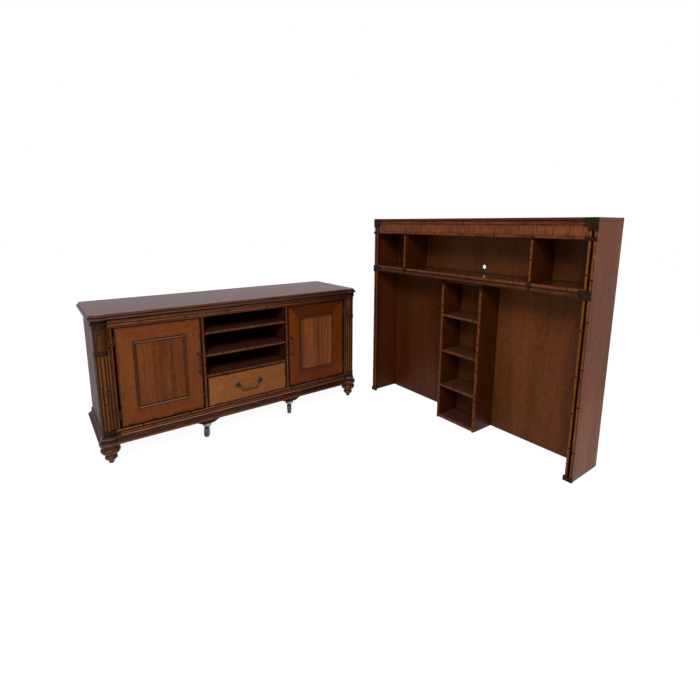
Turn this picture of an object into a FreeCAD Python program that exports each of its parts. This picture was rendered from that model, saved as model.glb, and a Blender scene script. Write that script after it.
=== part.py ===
import FreeCAD, Part
import math
import os

os.makedirs("parts", exist_ok=True)

V = FreeCAD.Vector

# Driving sizes in millimetres.
# Each unit is drawn in its own place: across is X, depth is Y with the front at Y = 0, and up is Z.

# base cabinet, overall
BASE_HEIGHT = 930.0
BASE_WIDTH = 1932.0
BASE_BACK = 565.0
TOP_THICK = 36.0
TOP_FRONT_OVERHANG = 22.0
TOP_SIDE_OVERHANG = 33.0
TOP_NOSE = 17.0
TOP_STEP = 5.0
TOP_COVE = 9.0
TOP_COVE_RISE = 4.0
TOP_LEDGE = 6.0
TOP_INSET = 22.0
BOARD = 19.0
BACK_THICK = 6.0
BACK_INSET = 10.0

# base cabinet, carcass
DECK_BOTTOM = 190.0
DECK_THICK = 20.0
FACE_THICK = 19.0
FRIEZE_HEIGHT = 49.0
FRIEZE_PROUD = 4.0
FRIEZE_BEAD = 4.0
BAY_SHARE = 0.3106
POST_WIDTH = 25.0
STILE_WIDTH = 22.0
BEAD_RADIUS = 6.5
RAIL_BEAD = 4.5
RAIL_GROOVE = 2.5

# corner columns, plinth and feet
COLUMN_INSET = 28.0
COLUMN_Y = 23.0
COLUMN_RADIUS = 40.0
COLUMN_BACK = 64.0
REED_COUNT = 6
COLLAR_HEIGHT = 31.0
PLAIN_LENGTH = 125.0
BINDING_HEIGHT = 32.0
NECK_HEIGHT = 39.0
CAPITAL_HEIGHT = 13.0
BINDING_THICK = 3.0
COLLAR_SWELL = 2.0
BINDING_SWELL = 2.0
NECK_SWELL = 1.5
NECK_RING = 16.0
NECK_RING_SWELL = 9.0
PLINTH_HEIGHT = 66.0
PLINTH_FRONT_OVERHANG = 28.0
PLINTH_SIDE_OVERHANG = 30.0
PLINTH_WALL = 10.0
PLINTH_ROLL = 14.0
PLINTH_BEAD = 11.0
LOBE_HEIGHT = 78.0
LOBE_RADIUS = 61.0
FOOT_CUP_RADIUS = 56.5
REAR_FOOT_SETBACK = 60.0
REAR_FOOT_INSET = 8.0
REAR_FOOT_SHARE = 0.9

# bay, shelves and drawer
SHELF_THICK = 18.0
UPPER_SHELF_SHARE = 0.737
LOWER_SHELF_SHARE = 0.354
CABINET_SHELF_SHARE = 0.52
DRAWER_BAY = 228.0
BAY_FLOOR_THICK = 15.0
SHELF_PLAY = 1.5
PIN_RADIUS = 2.5
PIN_DEPTH = 8.0
PIN_SHOWN = 9.0
PIN_CLEARANCE = 0.05
REST_CLEARANCE = 0.2
DRAWER_GAP = 3.0
DRAWER_REAR_SPACE = 109.0
DRAWER_SIDE = 14.0
DRAWER_SIDE_DROP = 33.0
DRAWER_GUIDE = 13.0
RUNNER_HEIGHT = 12.0

# doors
DOOR_GAP = 3.0
HINGE_GAP = 9.0
DOOR_THICK = 20.0
DOOR_MEMBER = 104.0
MOULDING_WIDTH = 17.0
MOULDING_RISE = 7.0
PANEL_THICK = 10.0
HINGE_LENGTH = 60.0
HINGE_END = 50.0
KNUCKLE_RADIUS = 3.2
HINGE_PIN_RADIUS = 1.5
HINGE_FORWARD = 2.0
LEAF_THICK = 1.5

# handles
PULL_CENTRES = 128.0
PULL_STAND = 27.0
PULL_RADIUS = 4.2
PULL_INSET = 22.0
PULL_LIFT = 8.0
BAIL_CENTRES = 171.0
BAIL_LIFT = 6.5
BAIL_DROP = 42.0
BAIL_RADIUS = 3.2
BAIL_STAND = 14.0
ROSETTE_RADIUS = 17.5

# casters
CASTER_INSET = 21.0
CASTER_TURN = 30.0
CASTER_TRAIL = 20.0
WHEEL_RADIUS = 37.5
WHEEL_WIDTH = 28.0
AXLE_RADIUS = 4.0
KINGPIN_RADIUS = 5.0
KINGPIN_HEAD = 2.5
FORK_THICK = 3.0
FORK_HALF = 20.0
FORK_CLEARANCE = 1.5
PLATE_THICK = 3.0
PLATE_LENGTH = 54.0
PLATE_WIDTH = 44.0
SHIM_THICK = 19.0
SHIM_WIDTH = 40.0
SWIVEL_CLEARANCE = 0.3
BLOCK_LENGTH = 176.0
BLOCK_FLAT = 56.0
BLOCK_DEPTH = 65.0

# hutch
HUTCH_WIDTH = 1780.0
HUTCH_HEIGHT = 1495.0
HUTCH_DEPTH = 303.0
HUTCH_SIDE = 22.0
HUTCH_TOP = 18.0
HUTCH_STILE = 44.0
HUTCH_REED = 9.0
STILE_GROOVE = 7.0
HUTCH_FACE = 20.0
BACK_RECESS = 48.0
HUTCH_FRIEZE_HEIGHT = 100.0
CUBBY_HEIGHT = 263.0
HUTCH_SHELF_THICK = 20.0
HUTCH_RAIL_HEIGHT = 29.0
PARTITION_SHARE = 0.5955
PARTITION_THICK = 16.0
TOWER_HALF = 172.0
TOWER_FRONT = 43.0
TOWER_FLOOR = 22.0
TOWER_RAIL_HEIGHT = 48.0
TOWER_RAIL_BEAD = 4.0
TOWER_SHELF_SETBACK = 3.0
TOWER_CUBBIES = 4
REED_GAP = 6.0
WRAP = 3.0
SLIM_WRAP = 2.0
WRAP_REACH = 24.0
STILE_WRAP = 28.0
WRAP_CLEARANCE = 0.3
FOOT_BAND = 28.0
HOLE_X = 36.0
HOLE_RISE = 43.0
HOLE_RADIUS = 19.0
GROMMET_RIM = 3.5
GROMMET_LIP = 2.0
GROMMET_WALL = 4.5

# how the two units stand: the hutch is turned a quarter turn and stands beside the base
STANDING_GAP = 198.0
HUTCH_END_Y = 4.0

# how close two faces count as one where rounded faces are joined
JOIN_TOLERANCE = 0.001

# Worked-out sizes.
TOP_UNDER = BASE_HEIGHT - TOP_THICK
TOP_HALF = BASE_WIDTH / 2
TOP_SETBACK = TOP_STEP + TOP_COVE
CARCASS_HALF = TOP_HALF - TOP_SIDE_OVERHANG
BAY_HALF = BAY_SHARE * TOP_HALF
FRIEZE_BOTTOM = TOP_UNDER - FRIEZE_HEIGHT
DECK_TOP = DECK_BOTTOM + DECK_THICK
PLINTH_BOTTOM = DECK_BOTTOM - PLINTH_HEIGHT
LOBE_BOTTOM = DECK_BOTTOM - LOBE_HEIGHT
SIDE_INNER = CARCASS_HALF - BOARD
BACK_Y = BASE_BACK - BACK_INSET - BACK_THICK
REAR_FOOT_Y = BASE_BACK - REAR_FOOT_SETBACK
REAR_CUP_RADIUS = REAR_FOOT_SHARE * FOOT_CUP_RADIUS
POST_OUTER = BAY_HALF + POST_WIDTH
PARTITION_INNER = BAY_HALF + (POST_WIDTH - BOARD) / 2
PARTITION_OUTER = PARTITION_INNER + BOARD
COLUMN_X = CARCASS_HALF - COLUMN_INSET
TURRET_RADIUS = TOP_HALF - COLUMN_X
COLUMN_INNER = COLUMN_X - COLUMN_RADIUS
REAR_FOOT_X = COLUMN_X - REAR_FOOT_INSET
COLLAR_TOP = DECK_BOTTOM + COLLAR_HEIGHT
NECK_TOP = TOP_UNDER - CAPITAL_HEIGHT
NECK_BOTTOM = NECK_TOP - NECK_HEIGHT
BINDING_TOP = NECK_BOTTOM - PLAIN_LENGTH
BINDING_BOTTOM = BINDING_TOP - BINDING_HEIGHT
STILE_INNER = COLUMN_INNER - STILE_WIDTH
BAY_FLOOR_TOP = DECK_TOP + DRAWER_BAY
BAY_HEIGHT = FRIEZE_BOTTOM - BAY_FLOOR_TOP
UPPER_SHELF_TOP = BAY_FLOOR_TOP + UPPER_SHELF_SHARE * BAY_HEIGHT
LOWER_SHELF_TOP = BAY_FLOOR_TOP + LOWER_SHELF_SHARE * BAY_HEIGHT
CABINET_SHELF_TOP = DECK_TOP + CABINET_SHELF_SHARE * (FRIEZE_BOTTOM - DECK_TOP)
DOOR_FREE = POST_OUTER + DOOR_GAP
DOOR_HINGED = STILE_INNER - HINGE_GAP
DOOR_BOTTOM = DECK_TOP + 2 * DOOR_GAP
DOOR_TOP = FRIEZE_BOTTOM - DOOR_GAP
PULL_MIDDLE = (DOOR_BOTTOM + DOOR_TOP) / 2 + PULL_LIFT
HINGE_X = STILE_INNER - HINGE_GAP / 2
HINGE_Y = -HINGE_FORWARD
DRAWER_HALF = BAY_HALF - DRAWER_GAP
DRAWER_BOTTOM = DECK_TOP + DRAWER_GAP
DRAWER_TOP = BAY_FLOOR_TOP - BAY_FLOOR_THICK - DRAWER_GAP
DRAWER_DEPTH = BACK_Y - DRAWER_REAR_SPACE
DRAWER_OUTER = DRAWER_HALF - DRAWER_GUIDE
BAIL_HEIGHT = (DRAWER_BOTTOM + DRAWER_TOP) / 2 + BAIL_LIFT
RUNNER_TOP = DECK_TOP + RUNNER_HEIGHT
CASTER_X = BAY_HALF + CASTER_INSET
WHEEL_TOP = 2 * WHEEL_RADIUS
FORK_TOP = WHEEL_TOP + FORK_CLEARANCE + FORK_THICK
PLATE_BOTTOM = FORK_TOP + SWIVEL_CLEARANCE
SHIM_BOTTOM = PLATE_BOTTOM + PLATE_THICK
BLOCK_BOTTOM = SHIM_BOTTOM + SHIM_THICK
HUTCH_HALF = HUTCH_WIDTH / 2
HUTCH_INNER = HUTCH_HALF - HUTCH_SIDE
HUTCH_STILE_INNER = HUTCH_HALF - HUTCH_STILE
HUTCH_TOP_UNDER = HUTCH_HEIGHT - HUTCH_TOP
HUTCH_BACK_FRONT = HUTCH_DEPTH - BACK_RECESS - BACK_THICK
FRIEZE_LOW = HUTCH_TOP_UNDER - HUTCH_FRIEZE_HEIGHT
HUTCH_SHELF_TOP = FRIEZE_LOW - CUBBY_HEIGHT
HUTCH_SHELF_UNDER = HUTCH_SHELF_TOP - HUTCH_SHELF_THICK
HUTCH_RAIL_BOTTOM = HUTCH_SHELF_UNDER - HUTCH_RAIL_HEIGHT
PARTITION_X = PARTITION_SHARE * HUTCH_HALF
TOWER_RAIL_BOTTOM = HUTCH_SHELF_UNDER - TOWER_RAIL_HEIGHT
TOWER_PITCH = (HUTCH_SHELF_UNDER - SHELF_THICK) / TOWER_CUBBIES
UPPER_REED_Z = HUTCH_TOP_UNDER - REED_GAP - HUTCH_REED
RAIL_REED_Z = HUTCH_SHELF_UNDER - REED_GAP - HUTCH_REED
HOLE_Z = HUTCH_SHELF_TOP + HOLE_RISE
HUTCH_FRONT_X = TOP_HALF + STANDING_GAP
HUTCH_MIDDLE_Y = HUTCH_END_Y - HUTCH_HALF

# Middle of the whole pair's footprint, which becomes the origin.
BASE_REACH = max(TOP_HALF, COLUMN_X + LOBE_RADIUS)
MIDDLE_X = (HUTCH_FRONT_X + HUTCH_DEPTH - BASE_REACH) / 2
MIDDLE_Y = (BASE_BACK + HUTCH_MIDDLE_Y - HUTCH_HALF - WRAP) / 2


# Building helpers.
def box(x0, x1, y0, y1, z0, z1):
    return Part.makeBox(x1 - x0, y1 - y0, z1 - z0, V(x0, y0, z0))


def rod(start, end, radius):
    along = end - start
    return Part.makeCylinder(radius, along.Length, start, along)


def joined(shapes):
    whole = shapes[0]
    for shape in shapes[1:]:
        whole = whole.fuse(shape)
    return whole.removeSplitter()


def mirrored(shape):
    return shape.mirror(V(0, 0, 0), V(1, 0, 0))


def pair(shape):
    return [shape, mirrored(shape)]


def polygon(points):
    return Part.Face(Part.makePolygon(points + [points[0]]))


def smooth_face(points, corners):
    """A face from a smooth curve through points, closed by straight lines through corners."""
    curve = Part.BSplineCurve()
    curve.interpolate(points)
    edges = [curve.toShape()]
    chain = [points[-1]] + corners + [points[0]]
    for start, end in zip(chain, chain[1:]):
        edges.append(Part.makeLine(start, end))
    return Part.Face(Part.Wire(edges))


def moulded_face(profile, corners):
    """A face from (outward, up, bow) points listed upward, closed by straight lines through corners.

    A bow above 0 swells the stretch up to the next point, 1 making a half circle, and below 0 hollows it.
    """
    edges = []
    for (out, up, bow), (next_out, next_up, _) in zip(profile, profile[1:]):
        start = V(out, 0, up)
        end = V(next_out, 0, next_up)
        if bow == 0:
            edges.append(Part.makeLine(start, end))
            continue
        swell = V(next_up - up, 0, out - next_out) * (bow / 2)
        edges.append(Part.Arc(start, (start + end) * 0.5 + swell, end).toShape())
    chain = [profile[-1]] + corners + [profile[0]]
    for start, end in zip(chain, chain[1:]):
        edges.append(Part.makeLine(V(start[0], 0, start[1]), V(end[0], 0, end[1])))
    return Part.Face(Part.Wire(edges))


def roll(low, widest, high):
    """Two bowed points of a roll, up to high: arcs that meet upright at its widest point."""
    points = []
    for start, end in ((low, widest), (widest, high)):
        lean = math.atan2(abs(end[0] - start[0]), end[1] - start[1])
        points.append((*start, math.tan(lean / 2)))
    return points


def facing_front(face):
    """A moulded face turned so that outward is to the front."""
    return face.rotated(V(0, 0, 0), V(0, 0, 1), -90)


def turned(profile, x, y, sweep=360):
    """A turning about an upright axis, from (radius, height) points, with bows if any, listed upward.

    A sweep of 180 makes the front half only.
    """
    bowed = [(*point, 0)[:3] for point in profile]
    face = moulded_face(bowed, [(0, bowed[-1][1]), (0, bowed[0][1])])
    return face.revolve(V(0, 0, 0), V(0, 0, -1), sweep).translated(V(x, y, 0))


def half_round_x(x0, x1, y_flat, z, radius):
    """A half-round strip along X whose flat back is at y_flat and whose round side faces the front."""
    whole = rod(V(x0, y_flat, z), V(x1, y_flat, z), radius)
    return whole.common(box(x0, x1, y_flat - radius, y_flat, z - radius, z + radius))


def half_round_z(x, y_flat, z0, z1, radius):
    """An upright half-round strip with its flat back at y_flat."""
    whole = rod(V(x, y_flat, z0), V(x, y_flat, z1), radius)
    return whole.common(box(x - radius, x + radius, y_flat - radius, y_flat, z0, z1))


def round_fronted(x0, x1, y0, y1, z0, z1):
    """A shelf board whose front edge is a full half round."""
    radius = (z1 - z0) / 2
    middle = (z0 + z1) / 2
    board = box(x0, x1, y0 + radius, y1, z0, z1)
    return joined([board, half_round_x(x0, x1, y0 + radius, middle, radius)])


# Top board: moulded edge on three sides with round turrets over the columns.
def edge_profile(reach):
    """The moulded edge: a cove, a full nose, widest at reach, and a roll set back above it."""
    nose_low = TOP_UNDER + TOP_COVE_RISE
    nose_high = nose_low + TOP_NOSE
    back = reach - TOP_STEP
    nose = roll((back, nose_low), (reach, (nose_low + nose_high) / 2), (back, nose_high))
    quarter_turn = math.tan(math.radians(90.0) / 4)
    return [
        (back - TOP_COVE, TOP_UNDER, -quarter_turn),
        *nose,
        (back, nose_high, 0),
        (back - TOP_LEDGE, nose_high, quarter_turn),
        (reach - TOP_INSET, BASE_HEIGHT, 0),
    ]


def base_top():
    rear = [(-BASE_BACK, BASE_HEIGHT), (-BASE_BACK, TOP_UNDER)]
    front = facing_front(moulded_face(edge_profile(TOP_FRONT_OVERHANG), rear))
    along = front.extrude(V(BASE_WIDTH, 0, 0)).translated(V(-TOP_HALF, 0, 0))
    right = moulded_face(edge_profile(TOP_HALF), [(0, BASE_HEIGHT), (0, TOP_UNDER)])
    depth = BASE_BACK + TURRET_RADIUS
    across = joined(pair(right.extrude(V(0, depth, 0)).translated(V(0, -TURRET_RADIUS, 0))))
    board = along.common(across)
    corner = box(COLUMN_X, TOP_HALF, COLUMN_Y - TURRET_RADIUS, COLUMN_Y, TOP_UNDER, BASE_HEIGHT)
    turret = turned(edge_profile(TURRET_RADIUS), COLUMN_X, COLUMN_Y, 180)
    for square in pair(corner):
        board = board.cut(square)
    return board.fuse(pair(turret), JOIN_TOLERANCE).removeSplitter()


# Cornice strips on the side panels, and the frieze over the doors.
def side_cornice():
    low = TOP_UNDER - 0.9 * FRIEZE_HEIGHT
    wall = CARCASS_HALF
    rise = TOP_UNDER - low
    reach = TOP_SIDE_OVERHANG - TOP_SETBACK
    curve = [
        V(wall + 0.96 * reach, 0, TOP_UNDER),
        V(wall + 0.72 * reach, 0, TOP_UNDER - 0.35 * rise),
        V(wall + 0.32 * reach, 0, TOP_UNDER - 0.65 * rise),
        V(wall + 0.18 * reach, 0, low),
    ]
    face = smooth_face(curve, [V(wall, 0, low), V(wall, 0, TOP_UNDER)])
    strip = face.extrude(V(0, BASE_BACK - COLUMN_BACK, 0)).translated(V(0, COLUMN_BACK, 0))
    return strip.cut(column_capital(WRAP_CLEARANCE)).cut(neck_sleeve(WRAP_CLEARANCE))


def base_frieze():
    half = COLUMN_INNER
    bead_z = FRIEZE_BOTTOM + 10.0 + BEAD_RADIUS
    upper_z = TOP_UNDER - FRIEZE_BEAD - 0.5
    face = box(-half, half, -FRIEZE_PROUD, FACE_THICK, bead_z, TOP_UNDER)
    low = box(-half, half, -1.0, FACE_THICK, FRIEZE_BOTTOM, bead_z)
    bead = rod(V(-half, -2.0, bead_z), V(half, -2.0, bead_z), BEAD_RADIUS)
    upper = half_round_x(-half, half, -FRIEZE_PROUD, upper_z, FRIEZE_BEAD)
    whole = joined([face, low, bead, upper])
    for capital in pair(column_capital(WRAP_CLEARANCE)):
        whole = whole.cut(capital)
    return whole


# Carcass boards.
def shelf_pin_places():
    """Where the shelf pins enter: (wall x, direction into the room, y, shelf underside)."""
    places = []
    rows = (0.25 * BACK_Y, 0.8 * BACK_Y)
    for top in (UPPER_SHELF_TOP, LOWER_SHELF_TOP):
        places += [(PARTITION_INNER, -1, y, top - SHELF_THICK) for y in rows]
    for wall, inward in ((PARTITION_OUTER, 1), (SIDE_INNER, -1)):
        places += [(wall, inward, y, CABINET_SHELF_TOP - SHELF_THICK) for y in rows]
    return places


def shelf_pin(place, radius, extra):
    wall, inward, y, under = place
    z = under - REST_CLEARANCE - PIN_RADIUS
    start = V(wall - inward * (PIN_DEPTH + extra), y, z)
    end = V(wall + inward * PIN_SHOWN, y, z)
    return rod(start, end, radius)


def drilled(board):
    for place in shelf_pin_places():
        board = board.cut(shelf_pin(place, PIN_RADIUS + PIN_CLEARANCE, PIN_CLEARANCE))
    return board


def side_panel():
    panel = box(SIDE_INNER, CARCASS_HALF, COLUMN_BACK, BASE_BACK, DECK_BOTTOM, TOP_UNDER)
    return drilled(panel)


def partition():
    return drilled(box(PARTITION_INNER, PARTITION_OUTER, FACE_THICK, BACK_Y, DECK_TOP, TOP_UNDER))


def base_deck():
    front = box(-COLUMN_INNER, COLUMN_INNER, FACE_THICK, COLUMN_BACK, DECK_BOTTOM, DECK_TOP)
    rear = box(-SIDE_INNER, SIDE_INNER, COLUMN_BACK, BACK_Y, DECK_BOTTOM, DECK_TOP)
    return joined([front, rear])


def base_back():
    return box(-SIDE_INNER, SIDE_INNER, BACK_Y, BACK_Y + BACK_THICK, DECK_BOTTOM, TOP_UNDER)


def base_bottom_rail():
    half = COLUMN_INNER
    groove_z = DECK_BOTTOM + 2 * RAIL_GROOVE
    rail = box(-half, half, 0, FACE_THICK, DECK_BOTTOM, DECK_TOP)
    bead = half_round_x(-half, half, 0, DECK_TOP - RAIL_BEAD - 1.0, RAIL_BEAD)
    groove = rod(V(-half, 0, groove_z), V(half, 0, groove_z), RAIL_GROOVE)
    return joined([rail, bead]).cut(groove)


def face_stile():
    reed = STILE_WIDTH / 4
    flat = box(STILE_INNER, COLUMN_INNER, 0, FACE_THICK, DECK_TOP, FRIEZE_BOTTOM)
    reeds = [
        half_round_z(STILE_INNER + reed, 0, DECK_TOP, FRIEZE_BOTTOM, reed),
        half_round_z(COLUMN_INNER - reed, 0, DECK_TOP, FRIEZE_BOTTOM, reed),
    ]
    return joined([flat] + reeds)


def centre_post():
    flat = box(BAY_HALF, POST_OUTER, 0, FACE_THICK, DECK_TOP, FRIEZE_BOTTOM)
    reed = half_round_z(BAY_HALF + POST_WIDTH / 2, 0, DECK_TOP, FRIEZE_BOTTOM, BEAD_RADIUS)
    return joined([flat, reed])


def bay_floor():
    low = BAY_FLOOR_TOP - BAY_FLOOR_THICK
    lip = round_fronted(-BAY_HALF, BAY_HALF, -4.0, FACE_THICK, low, BAY_FLOOR_TOP)
    board = box(-PARTITION_INNER, PARTITION_INNER, FACE_THICK, BACK_Y, low, BAY_FLOOR_TOP)
    return joined([lip, board])


def bay_shelf(top):
    half = BAY_HALF - SHELF_PLAY
    return round_fronted(-half, half, -1.0, BACK_Y - SHELF_PLAY, top - SHELF_THICK, top)


def cabinet_shelf():
    x0 = PARTITION_OUTER + SHELF_PLAY
    x1 = SIDE_INNER - SHELF_PLAY
    y0 = COLUMN_BACK + SHELF_PLAY
    return box(x0, x1, y0, BACK_Y - SHELF_PLAY, CABINET_SHELF_TOP - SHELF_THICK, CABINET_SHELF_TOP)


# Corner columns: a bundle of reeds below, a plain turning above, and wrapped bindings.
def column_block():
    """The square back of a corner column, which fills the corner of the carcass."""
    block = box(COLUMN_INNER, CARCASS_HALF, COLUMN_Y, COLUMN_BACK, DECK_BOTTOM, TOP_UNDER)
    tongue = box(COLUMN_INNER, COLUMN_X, 0, COLUMN_BACK, DECK_BOTTOM, TOP_UNDER)
    return joined([block, tongue])


def column_capital(grow):
    """The small roll that carries the top board's turret."""
    edge = TURRET_RADIUS - TOP_SETBACK
    middle = (NECK_TOP + TOP_UNDER) / 2
    profile = [
        (edge - 3.0 + grow, NECK_TOP),
        (edge + 0.5 + grow, middle - 2.0),
        (edge + 0.5 + grow, middle + 2.0),
        (edge - 2.0 + grow, TOP_UNDER),
    ]
    return turned(profile, COLUMN_X, COLUMN_Y)


def column():
    core = COLUMN_RADIUS - BINDING_THICK
    reed = COLUMN_RADIUS / 3
    ring = COLUMN_RADIUS - reed
    profile = [
        (core, DECK_BOTTOM),
        (core, COLLAR_TOP),
        (ring, COLLAR_TOP),
        (ring, BINDING_BOTTOM),
        (core, BINDING_BOTTOM),
        (core, BINDING_TOP),
        (COLUMN_RADIUS, BINDING_TOP),
        (COLUMN_RADIUS, NECK_BOTTOM),
        (core, NECK_BOTTOM),
        (core, TOP_UNDER),
    ]
    parts = [column_block(), turned(profile, COLUMN_X, COLUMN_Y)]
    for i in range(REED_COUNT):
        angle = math.radians(360.0 * i / REED_COUNT - 90.0)
        x = COLUMN_X + ring * math.cos(angle)
        y = COLUMN_Y + ring * math.sin(angle)
        parts.append(rod(V(x, y, COLLAR_TOP), V(x, y, BINDING_BOTTOM), reed))
    behind = box(0, CARCASS_HALF, COLUMN_BACK, 2 * COLUMN_BACK, NECK_TOP, TOP_UNDER)
    inside = box(0, COLUMN_INNER, FACE_THICK, 2 * COLUMN_BACK, NECK_TOP, TOP_UNDER)
    parts.append(column_capital(0).cut(behind).cut(inside))
    return joined(parts)


def column_sleeve(low, high, swell):
    outer = COLUMN_RADIUS + swell
    profile = [(outer - 1.5, low), (outer, low + 3.0), (outer, high - 3.0), (outer - 1.5, high)]
    return turned(profile, COLUMN_X, COLUMN_Y)


def neck_sleeve(grow):
    """The neck's binding: a straight sleeve with a small ring round its top."""
    outer = COLUMN_RADIUS + NECK_SWELL + grow
    widest = COLUMN_RADIUS + NECK_RING_SWELL + grow
    low = NECK_TOP - NECK_RING
    ring = roll((outer, low), (widest, NECK_TOP - NECK_RING / 2), (outer, NECK_TOP))
    profile = [(outer - 1.5, NECK_BOTTOM), (outer, NECK_BOTTOM + 3.0), *ring, (outer, NECK_TOP)]
    return turned(profile, COLUMN_X, COLUMN_Y)


def column_bindings():
    """The dark wrapped bands of one column, each a sleeve round its plain core."""
    inner = COLUMN_RADIUS - BINDING_THICK + WRAP_CLEARANCE
    core = turned([(inner, DECK_BOTTOM), (inner, TOP_UNDER)], COLUMN_X, COLUMN_Y)
    reach = COLUMN_X + 2 * COLUMN_RADIUS
    shown = box(COLUMN_INNER, reach, -COLUMN_RADIUS, COLUMN_BACK, DECK_BOTTOM, TOP_UNDER)
    sleeves = [
        column_sleeve(DECK_BOTTOM, COLLAR_TOP, COLLAR_SWELL),
        column_sleeve(BINDING_BOTTOM, BINDING_TOP, BINDING_SWELL),
        neck_sleeve(0),
    ]
    return [sleeve.cut(core).common(shown).cut(column_block()) for sleeve in sleeves]


# Plinth and turned feet.
def plinth_profile(face, overhang):
    """The plinth moulding over a face: a wide bottom roll, a hollow slope and a bead under a plain top."""
    edge = face + overhang
    low = PLINTH_BOTTOM
    roll_top = low + PLINTH_ROLL
    bead_low = low + 0.62 * PLINTH_HEIGHT
    bead_high = bead_low + PLINTH_BEAD
    seat = face + 3.0
    back = edge - 0.36 * PLINTH_ROLL
    bead_edge = seat + PLINTH_BEAD / 2
    return [
        *roll((back, low), (edge, low + PLINTH_ROLL / 2), (back, roll_top)),
        (back, roll_top, -0.12),
        (face + 2.0, bead_low - 1.5, 0),
        *roll((seat, bead_low), (bead_edge, bead_low + PLINTH_BEAD / 2), (seat, bead_high)),
        (seat, bead_high, -0.3),
        (face + 0.5, DECK_BOTTOM, 0),
    ]


def lobe_profile(reach):
    """The lobe over a foot: a wide roll, a neck, a smaller roll and a plain top."""
    low = LOBE_BOTTOM
    neck = low + 0.52 * LOBE_HEIGHT
    small_low = low + 0.56 * LOBE_HEIGHT
    small_high = low + 0.8 * LOBE_HEIGHT
    wide_middle = low + 0.26 * LOBE_HEIGHT
    small_middle = low + 0.67 * LOBE_HEIGHT
    return [
        *roll((reach - 11.0, low), (reach, wide_middle), (reach - 15.5, neck)),
        (reach - 15.5, neck, 0),
        *roll((reach - 15.5, small_low), (reach - 13.0, small_middle), (reach - 16.0, small_high)),
        (reach - 16.0, small_high, -0.3),
        (reach - 18.5, DECK_BOTTOM, 0),
    ]


def plinth_lobe(grow):
    return turned(lobe_profile(LOBE_RADIUS + grow), COLUMN_X, COLUMN_Y)


def plinth_front():
    rear = -FACE_THICK - 10.0
    profile = plinth_profile(0, PLINTH_FRONT_OVERHANG)
    face = moulded_face(profile, [(rear, DECK_BOTTOM), (rear, PLINTH_BOTTOM)])
    board = facing_front(face).extrude(V(2 * COLUMN_X, 0, 0)).translated(V(-COLUMN_X, 0, 0))
    return joined([board] + pair(plinth_lobe(0)))


def plinth_side():
    wall = SIDE_INNER - PLINTH_WALL
    profile = plinth_profile(CARCASS_HALF, PLINTH_SIDE_OVERHANG)
    face = moulded_face(profile, [(wall, DECK_BOTTOM), (wall, PLINTH_BOTTOM)])
    start = COLUMN_Y + COLUMN_RADIUS
    board = face.extrude(V(0, BASE_BACK - start, 0)).translated(V(0, start, 0))
    size = REAR_CUP_RADIUS
    block = box(REAR_FOOT_X - size, wall + 1.0, REAR_FOOT_Y - size, BACK_Y, LOBE_BOTTOM, DECK_BOTTOM)
    pad = turned([(0.9 * size, LOBE_BOTTOM), (0.9 * size, PLINTH_BOTTOM + 1.0)], REAR_FOOT_X, REAR_FOOT_Y)
    return joined([board, block, pad]).cut(plinth_lobe(WRAP_CLEARANCE))


def foot(x, y, cup):
    """A turned foot: a small tip, a ring and a wide cup, from shares of the cup's radius and the height."""
    def at(out, up):
        return (out * cup, up * LOBE_BOTTOM)

    profile = [
        (*at(0.22, 0), 0.15),
        (*at(0.33, 0.13), -0.1),
        *roll(at(0.46, 0.225), at(0.64, 0.34), at(0.52, 0.473)),
        (*at(0.52, 0.473), -0.2),
        *roll(at(0.62, 0.545), at(1.0, 0.8), at(0.84, 0.9375)),
        at(0.84, 0.9375),
        at(0.81, 1.0),
    ]
    return turned(profile, x, y)


# Doors: mitred frame, sunk panel, planted moulding, bar pull and butt hinges.
def mitred_frame(x0, x1, z0, z1, width, make_strip):
    """Four mitred members round a rectangle; make_strip(length) gives a strip along X at the origin."""
    middle_x = (x0 + x1) / 2
    middle_z = (z0 + z1) / 2
    wide = x1 - x0
    tall = z1 - z0
    members = []
    for turn in (0, 90, 180, 270):
        length = wide if turn in (0, 180) else tall
        reach = (tall if turn in (0, 180) else wide) / 2
        half = length / 2
        inside = half - width
        front = -2 * DOOR_THICK
        outline = ((-half, 0), (half, 0), (inside, width), (-inside, width))
        keep = polygon([V(x, front, z) for x, z in outline])
        member = make_strip(length).common(keep.extrude(V(0, -2 * front, 0)))
        member = member.translated(V(0, 0, -reach))
        member.rotate(V(0, 0, 0), V(0, 1, 0), -turn)
        members.append(member.translated(V(middle_x, 0, middle_z)))
    return members


def door_strip(length):
    flat = box(-length / 2, length / 2, 0, DOOR_THICK, 0, DOOR_MEMBER)
    arris = half_round_x(-length / 2, length / 2, 0, 5.0, 3.0)
    return joined([flat, arris])


def moulding_strip(length):
    base = box(-length / 2, length / 2, -2.0, 0, 0, MOULDING_WIDTH)
    curve = [
        V(-length / 2, -2.0, 0),
        V(-length / 2, -MOULDING_RISE, 0.35 * MOULDING_WIDTH),
        V(-length / 2, -0.75 * MOULDING_RISE, 0.65 * MOULDING_WIDTH),
        V(-length / 2, -2.0, MOULDING_WIDTH),
    ]
    crown = smooth_face(curve, []).extrude(V(length, 0, 0))
    return joined([base, crown])


def door_frame():
    return mitred_frame(DOOR_FREE, DOOR_HINGED, DOOR_BOTTOM, DOOR_TOP, DOOR_MEMBER, door_strip)


def door_moulding():
    inset = DOOR_MEMBER - MOULDING_WIDTH / 2
    return mitred_frame(DOOR_FREE + inset, DOOR_HINGED - inset, DOOR_BOTTOM + inset, DOOR_TOP - inset,
                        MOULDING_WIDTH, moulding_strip)


def door_panel():
    back = DOOR_THICK - PANEL_THICK
    return box(DOOR_FREE + DOOR_MEMBER, DOOR_HINGED - DOOR_MEMBER, 0.2 * back, 0.2 * back + PANEL_THICK,
               DOOR_BOTTOM + DOOR_MEMBER, DOOR_TOP - DOOR_MEMBER)


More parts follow.
